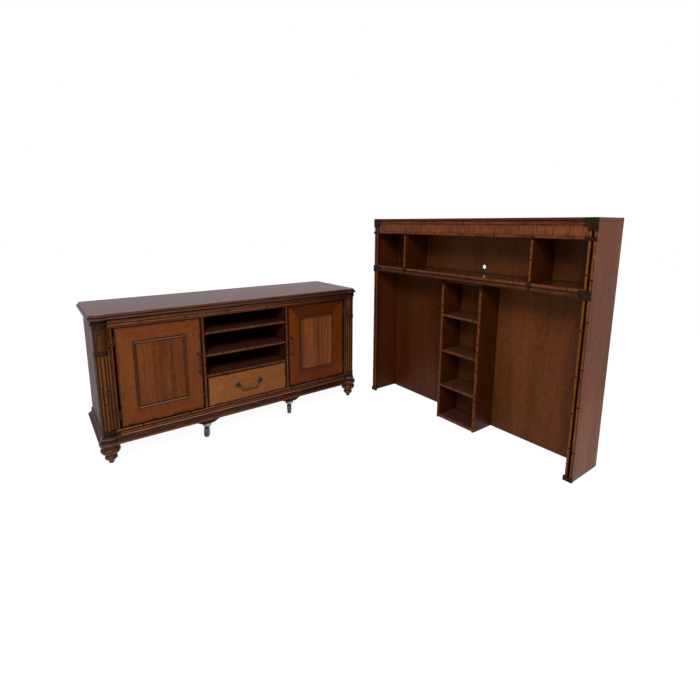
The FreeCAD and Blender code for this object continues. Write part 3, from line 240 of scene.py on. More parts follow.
# Materials.
class Paint:
    """One procedural material, built node by node."""

    def __init__(self, name, roughness, gloss):
        self.material = bpy.data.materials.new(name)
        self.material.use_nodes = True
        self.tree = self.material.node_tree
        self.shader = self.tree.nodes["Principled BSDF"]
        self.shader.inputs["Roughness"].default_value = roughness
        self.shader.inputs["Specular IOR Level"].default_value = gloss
        self.place = self.add("ShaderNodeTexCoord").outputs["Object"]
        split = self.add("ShaderNodeSeparateXYZ")
        self.put(self.place, split.inputs[0])
        self.axes = split.outputs

    def add(self, kind, **settings):
        node = self.tree.nodes.new(kind)
        for key, value in settings.items():
            setattr(node, key, value)
        return node

    def put(self, value, socket):
        """Sets a socket from a constant or from another node's output."""
        if isinstance(value, bpy.types.NodeSocket):
            self.tree.links.new(value, socket)
        else:
            socket.default_value = value

    def work(self, operation, *values):
        node = self.add("ShaderNodeMath", operation=operation)
        for value, socket in zip(values, node.inputs):
            self.put(value, socket)
        return node.outputs[0]

    def noise(self, scales, detail, shift=0.0):
        """Noise with its own scale along each axis, in cycles per metre."""
        mapping = self.add("ShaderNodeMapping")
        mapping.inputs["Scale"].default_value = scales
        mapping.inputs["Location"].default_value = (shift, 0.7 * shift, 1.3 * shift)
        self.put(self.place, mapping.inputs["Vector"])
        node = self.add("ShaderNodeTexNoise")
        node.inputs["Scale"].default_value = 1.0
        node.inputs["Detail"].default_value = detail
        self.put(mapping.outputs[0], node.inputs["Vector"])
        return node.outputs[0]

    def spread(self, value, low, high, start=0.0, end=1.0):
        """Stretches the span from low to high over start to end, clamped."""
        node = self.add("ShaderNodeMapRange", interpolation_type="SMOOTHSTEP")
        for number, socket in zip((value, low, high, start, end), node.inputs):
            self.put(number, socket)
        return node.outputs[0]

    def mix(self, share, first, second):
        node = self.add("ShaderNodeMix", data_type="RGBA")
        self.put(share, node.inputs[0])
        self.put(first, node.inputs[6])
        self.put(second, node.inputs[7])
        return node.outputs[2]

    def wave(self, axis, pitch):
        """A wave from 0 to 1 along one axis, with its pitch in metres."""
        turn = self.work("MULTIPLY", self.axes[axis], 2 * math.pi / pitch)
        return self.work("MULTIPLY_ADD", self.work("SINE", turn), 0.5, 0.5)

    def line(self, axis, place, half_width):
        """1 on a thin line across one axis, 0 elsewhere."""
        return self.spread(self.off(axis, place), 0.4 * half_width, half_width, 1.0, 0.0)

    def band(self, axis, low, high, blur):
        """1 between two places along one axis, 0 elsewhere."""
        start = self.spread(self.axes[axis], low - blur, low + blur)
        return self.work("MULTIPLY", start, self.spread(self.axes[axis], high - blur, high + blur, 1.0, 0.0))

    def off(self, axis, middle):
        """Distance from a place along one axis."""
        return self.work("ABSOLUTE", self.work("SUBTRACT", self.axes[axis], middle))

    def facing(self, axis):
        """How far the surface faces along one axis, from -1 to 1."""
        split = self.add("ShaderNodeSeparateXYZ")
        self.put(self.add("ShaderNodeTexCoord").outputs["Normal"], split.inputs[0])
        return split.outputs[axis]

    def occlusion_shade(self, reach):
        """Occlusion for painted shade: 0 on open surfaces, rising to 1 deep in corners and grooves within
        reach, in metres.
        """
        node = self.add("ShaderNodeAmbientOcclusion", samples=6)
        node.inputs["Distance"].default_value = reach
        return self.work("SUBTRACT", 1.0, node.outputs["AO"])

    def cool_sheen(self, weight):
        """A faint bluish sheen, as a pale room leaves on dark lacquer."""
        self.shader.inputs["Sheen Weight"].default_value = weight
        self.shader.inputs["Sheen Roughness"].default_value = SHEEN_ROUGHNESS
        self.shader.inputs["Sheen Tint"].default_value = SHEEN_TINT

    def finish(self, colour, height, depth):
        """Wires in the colour and a bump of the given depth in metres."""
        self.put(colour, self.shader.inputs["Base Color"])
        node = self.add("ShaderNodeBump")
        node.inputs["Distance"].default_value = depth
        self.put(height, node.inputs["Height"])
        self.put(node.outputs[0], self.shader.inputs["Normal"])
        return self.material


def grain_scales(grain, across, length):
    """Noise scales that are low along the grain and high across it."""
    return tuple(length if axis == grain else across for axis in "XYZ")


def scaled(colour, factor):
    """The same colour, lighter or darker by a factor."""
    return (*(factor * part for part in colour[:3]), 1.0)


def wood_tone(paint, tone, contrast, grain, shift=0.0):
    """Stained wood with broad bands, mottling and fine streaks along the grain; also gives the streaks."""
    band = paint.noise(grain_scales(grain, 9.0, 1.2), 3.0, shift)
    mottle = paint.noise((38.0, 38.0, 38.0), 4.0, shift + 2.0)
    fine = paint.noise(grain_scales(grain, 260.0, 5.0), 3.0, shift + 5.0)
    share = paint.work("MULTIPLY_ADD", fine, 0.35, paint.work("MULTIPLY", band, 0.35))
    share = paint.work("MULTIPLY_ADD", mottle, 0.3, share)
    dark = scaled(tone, 1 - contrast)
    light = scaled(tone, 1 + contrast)
    return paint.mix(paint.spread(share, 0.36, 0.64), dark, light), fine


def stained(paint, tone, contrast, grain, shift=0.0):
    """Stained wood where its colour alone is needed."""
    return wood_tone(paint, tone, contrast, grain, shift)[0]


def flecked(paint, colour, amount):
    """Scatters the small dark flecks of a distressed finish."""
    spots = paint.noise((130.0, 130.0, 80.0), 1.0, 11.0)
    return paint.mix(paint.spread(spots, 0.66, 0.73, 0.0, amount), colour, GLAZE_AND_SHADE)


def picked_out(paint, colour, axis, place, half_width, tone, amount):
    """Lays a soft line of another tone across one axis."""
    share = paint.spread(paint.off(axis, place), 0.3 * half_width, half_width, amount, 0.0)
    return paint.mix(share, colour, tone)


def glaze_and_shade(paint, colour, amount, reach=NEAR_REACH):
    """Darkens corners and grooves found by occlusion: partly dark glaze, as a wiped antique finish leaves,
    partly painted shade.
    """
    return paint.mix(paint.spread(paint.occlusion_shade(reach), 0.12, 0.5, 0.0, amount), colour, GLAZE_AND_SHADE)


def plain_wood(name, tone, grain, contrast=0.25, roughness=0.35, gloss=0.12):
    """One stain all over, with flecks, and glaze and painted shade in its corners."""
    paint = Paint(name, roughness, gloss)
    colour, fine = wood_tone(paint, tone, contrast, grain)
    colour = glaze_and_shade(paint, flecked(paint, colour, 0.35), 0.85)
    return paint.finish(colour, fine, STREAK_DEPTH)


def smoked(paint, colour, tone, grain, smoke):
    """Smokes the stain dark in thin streaks along the grain and wears it pale in short patches."""
    streaks = paint.noise(grain_scales(grain, 150.0, 7.0), 3.0, 4.0)
    colour = paint.mix(paint.spread(streaks, 0.46, 0.7, 0.0, smoke), colour, GLAZE_AND_SHADE)
    worn = paint.noise(grain_scales(grain, 70.0, 10.0), 3.0, 9.0)
    return paint.mix(paint.spread(worn, 0.55, 0.72, 0.0, 0.6), colour, scaled(tone, 1.7))


def bamboo_wood(name, tone, grain, gloss, smoke, roughness=0.3):
    """Reeds in a warm stain, smoked dark in streaks along their length."""
    paint = Paint(name, roughness, gloss)
    colour, fine = wood_tone(paint, tone, 0.3, grain)
    colour = smoked(paint, colour, tone, grain, smoke)
    return paint.finish(glaze_and_shade(paint, colour, 0.95), fine, STREAK_DEPTH)


def reed_colour(paint, tone, axis, centre, middles, radius):
    """Reeds on both sides of a centre, stained along their crests, with painted shade dark in the grooves
    beside them.
    """
    colour, fine = wood_tone(paint, tone, 0.3, "Z")
    colour = smoked(paint, colour, tone, "Z", 0.6)
    across = paint.off(axis, centre)
    nearest = 1.0
    for middle in middles:
        off_crest = paint.work("ABSOLUTE", paint.work("SUBTRACT", across, middle))
        nearest = paint.work("MINIMUM", nearest, off_crest)
    # Painted shade in the grooves beside the reeds.
    beside = paint.spread(nearest, 0.35 * radius, 0.9 * radius, 0.0, 0.9)
    return paint.mix(beside, colour, GLAZE_AND_SHADE), fine


def upright_reeds(name, tone, middles, radius):
    """Reeds up the base's face."""
    paint = Paint(name, 0.3, 0.1)
    colour, fine = reed_colour(paint, tone, "X", BASE_X, middles, radius)
    return paint.finish(glaze_and_shade(paint, colour, 0.95), fine, STREAK_DEPTH)


def hutch_stile_wood(tone, flank_tone):
    """Reeds up the hutch's front with painted shade in their grooves, a plain flank beside them and pale
    patches near the top.
    """
    paint = Paint("hutch_stile_wood", 0.3, 0.08)
    colour, fine = reed_colour(paint, tone, "Y", HUTCH_Y, HUTCH_REEDS, HUTCH_REED)
    across = paint.off("Y", HUTCH_Y)
    colour = glaze_and_shade(paint, colour, 0.95)
    outer = HUTCH_REEDS[-1]
    flank = paint.spread(across, outer + 0.8 * HUTCH_REED, outer + 0.95 * HUTCH_REED)
    colour = paint.mix(flank, colour, flank_tone)
    # Pale patches on the outer corner of the outer reed, near the top.
    rubbed = paint.spread(paint.noise((90.0, 90.0, 28.0), 3.0, 6.0), 0.52, 0.66, 0.0, 0.75)
    corner = paint.spread(across, outer + 0.3 * HUTCH_REED, outer + 0.6 * HUTCH_REED)
    high = paint.spread(paint.axes["Z"], PALE_PATCH_LOW, PALE_PATCH_HIGH)
    share = paint.work("MULTIPLY", paint.work("MULTIPLY", rubbed, corner), high)
    return paint.finish(paint.mix(share, colour, PALE_PATCH_TONE), fine, STREAK_DEPTH)


def shaded_to_right(paint, colour, amount):
    """Paints shade that grows darker towards the base's right-hand end."""
    return paint.mix(paint.spread(paint.axes["X"], BASE_X, BASE_X + RIGHT_SHADE_X, 0.0, amount), colour, GLAZE_AND_SHADE)


def beaded_rail(name, tone, bead_highlight_tone, bead_z, bead, deep):
    """Level rail with a painted highlight on its bead between lines of painted shade."""
    paint = Paint(name, 0.3, 0.12)
    colour, fine = wood_tone(paint, tone, 0.3, "X")
    # Painted highlight on the bead, and painted shade in the lines on both sides of it.
    crest = stained(paint, bead_highlight_tone, 0.3, "X", 3.0)
    away = paint.off("Z", bead_z)
    colour = paint.mix(paint.spread(away, 0.6 * bead, bead, 1.0, 0.0), colour, crest)
    colour = smoked(paint, colour, tone, "X", 0.6)
    line = paint.work("ABSOLUTE", paint.work("SUBTRACT", away, 1.2 * bead))
    colour = paint.mix(paint.spread(line, 0.15 * bead, 0.5 * bead, 0.9, 0.0), colour, GLAZE_AND_SHADE)
    # Painted shade that grows towards the right-hand end, as much as deep says.
    return paint.finish(glaze_and_shade(paint, shaded_to_right(paint, colour, deep), 0.95), fine, STREAK_DEPTH)


def column_wood(tone):
    """Reed bundle, painted shade in its grooves and outer side, with a darker plain turning above that
    darkens at its head.
    """
    paint = Paint("column_wood", 0.28, 0.07)
    colour, fine = wood_tone(paint, tone, 0.3, "Z")
    plain = stained(paint, scaled(tone, 0.42), 0.35, "Z", 2.0)
    above = paint.spread(paint.axes["Z"], COLUMN_PLAIN_LOW - BORDER_BLUR, COLUMN_PLAIN_LOW)
    colour = paint.mix(above, colour, plain)
    head = paint.spread(paint.axes["Z"], COLUMN_PLAIN_HIGH, COLUMN_PLAIN_HIGH + COLUMN_HEAD_FADE, 0.0, 0.75)
    colour = paint.mix(head, colour, GLAZE_AND_SHADE)
    colour = smoked(paint, colour, scaled(tone, 0.8), "Z", 0.65)
    # Painted shade in the grooves between the reeds, and on the column's outer side.
    aside = paint.work("SUBTRACT", paint.off("X", BASE_X), COLUMN_OUT)
    back = paint.work("SUBTRACT", paint.axes["Y"], BASE_Y + COLUMN_BACK)
    square = paint.work("MULTIPLY_ADD", aside, aside, paint.work("MULTIPLY", back, back))
    from_axis = paint.work("SQRT", square)
    groove = paint.spread(from_axis, 0.94 * COLUMN_RADIUS, COLUMN_RADIUS, 0.92, 0.0)
    colour = paint.mix(groove, colour, GLAZE_AND_SHADE)
    outer = paint.spread(aside, 0.4 * COLUMN_RADIUS, 0.95 * COLUMN_RADIUS, 0.0, 0.6)
    colour = paint.mix(outer, colour, GLAZE_AND_SHADE)
    return paint.finish(glaze_and_shade(paint, colour, 0.7), fine, STREAK_DEPTH)


def top_wood(tone, edge_tone, crest_highlight_tone):
    """Top board: a cool-sheened flat painted lighter rightwards, and a warm moulded edge with painted
    highlights and shade.
    """
    paint = Paint("top_wood", 0.32, 0.056)
    paint.cool_sheen(TOP_SHEEN)
    near, fine = wood_tone(paint, scaled(tone, 0.9), 0.14, "X")
    far = stained(paint, scaled(tone, 1.16), 0.14, "X")
    # Painted reflection: the flat grows lighter towards the right.
    flat = paint.mix(paint.spread(paint.axes["X"], BASE_X + TOP_NEAR_X, BASE_X + TOP_FAR_X), near, far)
    edge = stained(paint, edge_tone, 0.3, "X", 3.0)
    # Painted highlights along the crests of the upper roll and the nose.
    for crest in (TOP_ROLL_Z, TOP_NOSE_Z):
        edge = picked_out(paint, edge, "Z", crest, TOP_ROLL_HALF, crest_highlight_tone, 0.9)
    # Painted shade: a dark line in the ledge and darkness in the cove under the nose.
    edge = picked_out(paint, edge, "Z", TOP_LEDGE_Z, TOP_LEDGE_HALF, GLAZE_AND_SHADE, 0.85)
    cove = paint.spread(paint.axes["Z"], TOP_COVE_Z - TOP_COVE_FADE, TOP_COVE_Z, 0.7, 0.0)
    edge = paint.mix(cove, edge, GLAZE_AND_SHADE)
    edge = glaze_and_shade(paint, smoked(paint, edge, edge_tone, "X", 0.5), 0.9, WIDE_REACH)
    # Painted shade that grows towards the right-hand end.
    edge = shaded_to_right(paint, edge, 0.45)
    # Painted reflection: side-facing edges behind the turrets take the flat's darker tone.
    sideways = paint.spread(paint.work("ABSOLUTE", paint.facing("X")), 0.35, 0.8)
    turret_end = BASE_Y + TURRET_END
    behind = paint.spread(paint.axes["Y"], turret_end, turret_end + TURRET_FADE)
    edge = paint.mix(paint.work("MULTIPLY", sideways, behind), edge, scaled(tone, 0.8))
    lower = paint.spread(paint.axes["Z"], TOP_FLAT_Z - BORDER_BLUR, TOP_FLAT_Z + BORDER_BLUR, 1.0, 0.0)
    return paint.finish(paint.mix(lower, flat, edge), fine, FAINT_DEPTH)


def plinth_wood(tone, bead_highlight_tone, lobe_tone):
    """Long plinth moulding: painted shade in its hollow, painted highlights on bead and rolls, darker lobes
    under black collars.
    """
    paint = Paint("plinth_wood", 0.2, 0.09)
    colour, fine = wood_tone(paint, tone, 0.3, "X")
    # Painted shade in the hollow below the nose.
    hollow = paint.work("MULTIPLY", paint.band("Z", SLOPE_LOW, SLOPE_HIGH, PLINTH_BLUR), 0.62)
    colour = paint.mix(hollow, colour, GLAZE_AND_SHADE)
    # Painted highlight on the bead, and painted shade in the lines on both sides of it.
    away = paint.off("Z", PLINTH_BEAD_Z)
    colour = paint.mix(paint.spread(away, 0.2 * PLINTH_BEAD, 0.8 * PLINTH_BEAD, 1.0, 0.0), colour, bead_highlight_tone)
    line = paint.work("ABSOLUTE", paint.work("SUBTRACT", away, 1.15 * PLINTH_BEAD))
    colour = paint.mix(paint.spread(line, 0.0, 0.3 * PLINTH_BEAD, 0.8, 0.0), colour, GLAZE_AND_SHADE)
    # Painted highlight along the bottom roll.
    colour = picked_out(paint, colour, "Z", PLINTH_ROLL_Z, PLINTH_ROLL_HALF, scaled(tone, 1.5), 0.8)
    lobe = stained(paint, lobe_tone, 0.3, "Z", 3.0)
    # Painted highlights along the lobes' rolls.
    for crest in LOBE_ROLLS_Z:
        lobe = picked_out(paint, lobe, "Z", crest, LOBE_ROLL_HALF, scaled(bead_highlight_tone, 0.8), 0.45)
    above = paint.spread(paint.axes["Z"], LOBE_COLLAR_Z - PLINTH_BLUR, LOBE_COLLAR_Z + PLINTH_BLUR,
                         0.0, 0.85)
    lobe = paint.mix(above, lobe, GLAZE_AND_SHADE)
    from_column = paint.work("ABSOLUTE", paint.work("SUBTRACT", paint.off("X", BASE_X), COLUMN_OUT))
    share = paint.spread(from_column, LOBE_REACH - LOBE_FADE, LOBE_REACH, 1.0, 0.0)
    # Painted shade that grows towards the right-hand end.
    colour = smoked(paint, paint.mix(share, shaded_to_right(paint, colour, 0.3), lobe), tone, "X", 0.5)
    return paint.finish(glaze_and_shade(paint, colour, 0.92), fine, STREAK_DEPTH)


def edged_wood(name, tone, grain, edge_tone, edge_axis, edge_end, gloss=0.1, roughness=0.35):
    """Board whose rounded front edge, up to edge_end along one axis, has a warmer worn stain."""
    paint = Paint(name, roughness, gloss)
    colour, fine = wood_tone(paint, tone, 0.2, grain)
    worn = paint.noise((45.0, 45.0, 45.0), 3.0, 8.0)
    edge = paint.mix(paint.spread(worn, 0.4, 0.65), edge_tone, scaled(edge_tone, 0.45))
    share = paint.spread(paint.axes[edge_axis], edge_end - BORDER_BLUR, edge_end + BORDER_BLUR, 1.0, 0.0)
    colour = paint.mix(share, flecked(paint, colour, 0.15), edge)
    return paint.finish(glaze_and_shade(paint, colour, 0.9), fine, STREAK_DEPTH)


def panel_edges(paint, middle_x, middle_z, half_wide, half_tall):
    """Distances in from an upright panel's sides and from its ends, in metres."""
    from_side = paint.work("SUBTRACT", half_wide, paint.off("X", middle_x))
    return from_side, paint.work("SUBTRACT", half_tall, paint.off("Z", middle_z))


def door_edges(paint, middle_x):
    """Distances in from the sides and ends of the door with the given middle."""
    return panel_edges(paint, middle_x, DOOR_Z, DOOR_HALF_WIDE, DOOR_HALF_TALL)


def rubbed_edges(paint, colour, edge, smudge_reach):
    """Dark glaze rubbed along a panel's edges and smudged inwards."""
    smudge = paint.spread(paint.noise((26.0, 26.0, 26.0), 4.0, 2.0), 0.4, 0.7)
    share = paint.work("MULTIPLY", paint.spread(edge, 0.0, smudge_reach, 0.8, 0.0), smudge)
    colour = paint.mix(share, colour, GLAZE_AND_SHADE)
    return paint.mix(paint.spread(edge, *RUBBED_LINE, 0.85, 0.0), colour, GLAZE_AND_SHADE)


def door_veneer(name, middle_x, tone, rail_tone, low_share):
    """Veneer mitred at the corners, with dark glaze rubbed into the edges and smudged inwards."""
    paint = Paint(name, 0.36, 0.08)
    from_side, from_end = door_edges(paint, middle_x)
    is_rail = paint.work("LESS_THAN", from_end, from_side)
    stile, fine = wood_tone(paint, tone, 0.2, "Z")
    # Painted shade: the rails are darker than the stiles, most on the right door's upper rail, for the
    # grain's changing sheen.
    rail = stained(paint, rail_tone, 0.2, "X", 3.0)
    low = paint.work("LESS_THAN", paint.axes["Z"], DOOR_Z)
    rail = paint.mix(paint.work("MULTIPLY", low, low_share), rail, stile)
    colour = paint.mix(is_rail, stile, rail)
    colour = rubbed_edges(paint, colour, paint.work("MINIMUM", from_side, from_end), DOOR_SMUDGE)
    return paint.finish(glaze_and_shade(paint, flecked(paint, colour, 0.5), 0.5), fine, STREAK_DEPTH)


def door_moulding(name, middle_x, rubbed, edge_glaze_and_shade):
    """Planted moulding with painted shade at its edges, and a pale painted highlight on the crest of its
    level bars.
    """
    paint = Paint(name, 0.32, 0.08)
    from_side, from_end = door_edges(paint, middle_x)
    off_crest = paint.work("SUBTRACT", paint.work("MINIMUM", from_side, from_end), DOOR_MEMBER)
    away = paint.work("ABSOLUTE", off_crest)
    worn = paint.noise((60.0, 60.0, 60.0), 3.0, 1.0)
    wood = paint.mix(worn, shade(62, 32, 16), shade(94, 52, 28))
    # Painted highlight: the pale crest shows on the level bars only, scaled by rubbed.
    pale = paint.mix(worn, shade(112, 80, 60), shade(150, 124, 106))
    level = paint.work("LESS_THAN", from_end, from_side)
    crest = paint.mix(paint.work("MULTIPLY", level, rubbed), wood, pale)
    colour = paint.mix(paint.spread(away, *MOULDING_CREST, 1.0, 0.0), wood, crest)
    # Painted shade along both edges of the moulding.
    outside = paint.spread(away, 0.7 * MOULDING_HALF, 0.95 * MOULDING_HALF, 0.0, edge_glaze_and_shade)
    colour = paint.mix(outside, colour, GLAZE_AND_SHADE)
    return paint.finish(glaze_and_shade(paint, colour, edge_glaze_and_shade), worn, FAINT_DEPTH)


def reeded_panel(name, middle_x, tone, streak_scale, streak_share, groove_shade):
    """Fine upright reeds of a door panel: painted shade in the grooves and darker streaks."""
    paint = Paint(name, 0.42, 0.08)
    colour, fine = wood_tone(paint, tone, 0.22, "Z")
    across = paint.work("SUBTRACT", paint.axes["X"], middle_x)
    turn = paint.work("MULTIPLY", across, 2 * math.pi / PANEL_REED)
    reed = paint.work("MULTIPLY_ADD", paint.work("COSINE", turn), -0.5, 0.5)
    # Painted shade in the grooves between the fine reeds.
    groove = paint.spread(reed, 0.0, 0.5, groove_shade, 0.0)
    colour = paint.mix(groove, colour, GLAZE_AND_SHADE)
    streaks = paint.noise((streak_scale, 1.0, 2.0), 3.0, 7.0)
    colour = paint.mix(paint.spread(streaks, 0.42, 0.66, 0.0, streak_share), colour, GLAZE_AND_SHADE)
    colour = glaze_and_shade(paint, flecked(paint, colour, 0.3), 0.75, PANEL_REACH)
    return paint.finish(colour, fine, STREAK_DEPTH)


def woven_front(tone):
    """Drawer front in a fine basket weave with dark rubbed edges."""
    paint = Paint("woven_front", 0.5, 0.1)
    colour = stained(paint, tone, 0.2, "X")
    weave = paint.work("MULTIPLY", paint.wave("X", WEAVE_PITCH), paint.wave("Z", WEAVE_PITCH))
    colour = paint.mix(paint.spread(weave, 0.0, 0.5, 0.4, 0.0), colour, GLAZE_AND_SHADE)
    sides = panel_edges(paint, BASE_X, DRAWER_Z, DRAWER_HALF_WIDE, DRAWER_HALF_TALL)
    colour = rubbed_edges(paint, flecked(paint, colour, 0.3), paint.work("MINIMUM", *sides), DRAWER_SMUDGE)
    return paint.finish(glaze_and_shade(paint, colour, 0.85), weave, CANE_DEPTH)


def figured_frieze(tone):
    """Upright figure in light and dark streaks along the hutch's frieze."""
    paint = Paint("hutch_frieze_wood", 0.34, 0.12)
    colour, fine = wood_tone(paint, tone, 0.25, "Z")
    streaks = paint.noise((1.0, 150.0, 14.0), 4.0, 6.0)
    colour = paint.mix(paint.spread(streaks, 0.4, 0.66, 0.0, 0.7), colour, shade(46, 20, 8))
    return paint.finish(glaze_and_shade(paint, colour, 0.9, WIDE_REACH), fine, STREAK_DEPTH)


def wrapped_binding(name, axis, tone):
    """Dark cane wrapping with fine strands across the given axis."""
    paint = Paint(name, 0.42, 0.06)
    strand = paint.wave(axis, STRAND_PITCH)
    worn = paint.noise((70.0, 70.0, 70.0), 3.0)
    colour = paint.mix(paint.spread(worn, 0.4, 0.7), scaled(tone, 0.35), tone)
    colour = paint.mix(paint.spread(strand, 0.0, 0.4, 0.6, 0.0), colour, GLAZE_AND_SHADE)
    return paint.finish(colour, strand, CANE_DEPTH)


def hutch_side_wood(tone, low_reflection_tone):
    """Upright streaks, paler near the foot as a painted reflection, a scored line by the front and a dark
    joint under the top.
    """
    paint = Paint("hutch_side_wood", 0.36, 0.042)
    high, fine = wood_tone(paint, tone, 0.3, "Z")
    low = stained(paint, low_reflection_tone, 0.3, "Z")
    # Painted reflection: the side is paler low down.
    colour = paint.mix(paint.spread(paint.axes["Z"], SIDE_PALE_LOW, SIDE_PALE_HIGH), low, high)
    scored = paint.line("X", HUTCH_X + SIDE_SCORE_BACK, SIDE_SCORE_HALF)
    joint = paint.line("Z", HUTCH_JOINT_Z, HUTCH_JOINT_HALF)
    dark = paint.work("MAXIMUM", scored, joint)
    colour = paint.mix(paint.work("MULTIPLY", dark, 0.8), colour, GLAZE_AND_SHADE)
    return paint.finish(glaze_and_shade(paint, flecked(paint, colour, 0.25), 0.8), fine, FAINT_DEPTH)


def hutch_top_wood(tone, end_tone):
    """Top board whose ends match the sides."""
    paint = Paint("hutch_top_wood", 0.35, 0.05)
    colour, fine = wood_tone(paint, tone, 0.25, "Y")
    end = paint.spread(paint.work("ABSOLUTE", paint.facing("Y")), 0.5, 0.8)
    colour = paint.mix(end, flecked(paint, colour, 0.35), end_tone)
    return paint.finish(glaze_and_shade(paint, colour, 0.85), fine, STREAK_DEPTH)


def hutch_back_wood(tone, lit_right_tone):
    """Back panel: painted light in the right-hand bay under the shelf and between the partitions over it,
    painted shade elsewhere.
    """
    paint = Paint("hutch_back_wood", 0.35, 0.08)
    left, fine = wood_tone(paint, scaled(tone, 0.8), 0.3, "Z")
    right = stained(paint, lit_right_tone, 0.3, "Z")
    # Painted light: the right-hand bay under the shelf takes the paler tone, the rest the darker, shaded
    # one.
    share = paint.spread(paint.axes["Y"], HUTCH_Y - BACK_FADE, HUTCH_Y + BACK_FADE, 1.0, 0.0)
    below = paint.spread(paint.axes["Z"], HUTCH_SHELF_Z - ZONE_BLUR, HUTCH_SHELF_Z, 1.0, 0.35)
    colour = paint.mix(paint.work("MULTIPLY", share, below), left, right)
    above = paint.spread(paint.axes["Z"], HUTCH_SHELF_Z, HUTCH_SHELF_Z + ZONE_BLUR)
    middle = paint.spread(paint.off("Y", HUTCH_Y), PARTITION_OUT - ZONE_BLUR, PARTITION_OUT, 0.8, 0.0)
    colour = paint.mix(paint.work("MULTIPLY", above, middle), colour, right)
    rear = paint.spread(paint.facing("X"), -0.5, 0.5)
    colour = paint.mix(rear, colour, left)
    return paint.finish(glaze_and_shade(paint, flecked(paint, colour, 0.15), 0.85), fine, STREAK_DEPTH)


def base_side_wood(tone, low_reflection_tone):
    """Side panel that darkens to brown just above the plinth, a painted dimming of its reflection there."""
    paint = Paint("side_wood", 0.45, 0.033)
    paint.cool_sheen(SIDE_SHEEN)
    colour, fine = wood_tone(paint, tone, 0.15, "Z")
    # Painted shade: the side's reflection is dimmed just above the plinth.
    low = paint.spread(paint.axes["Z"], SIDE_PANEL_LOW, SIDE_PANEL_LOW + SIDE_DARKENING_RISE, 0.9, 0.0)
    colour = paint.mix(low, colour, low_reflection_tone)
    return paint.finish(glaze_and_shade(paint, flecked(paint, colour, 0.1), 0.85), fine, STREAK_DEPTH)


def metal(name, colour, roughness, worn, metallic):
    """Metal, rubbed to a second tone in spots."""
    paint = Paint(name, roughness, 0.5)
    paint.shader.inputs["Metallic"].default_value = metallic
    rub = paint.noise((140.0, 140.0, 140.0), 4.0)
    tone = paint.mix(paint.spread(rub, 0.4, 0.7), colour, worn)
    return paint.finish(tone, rub, FAINT_DEPTH)


def matt(name, colour, second, roughness, scale, gloss=0.3):
    """Rubber, plastic, bare wood or black paint with a slightly uneven tone."""
    paint = Paint(name, roughness, gloss)
    uneven = paint.noise((scale, scale, scale), 4.0)
    return paint.finish(paint.mix(uneven, colour, second), uneven, STREAK_DEPTH)


def give(material, *names):
    """Puts one material on CAD nodes."""
    for name in names:
        slots = NODES[name].data.materials
        slots.clear()
        slots.append(material)


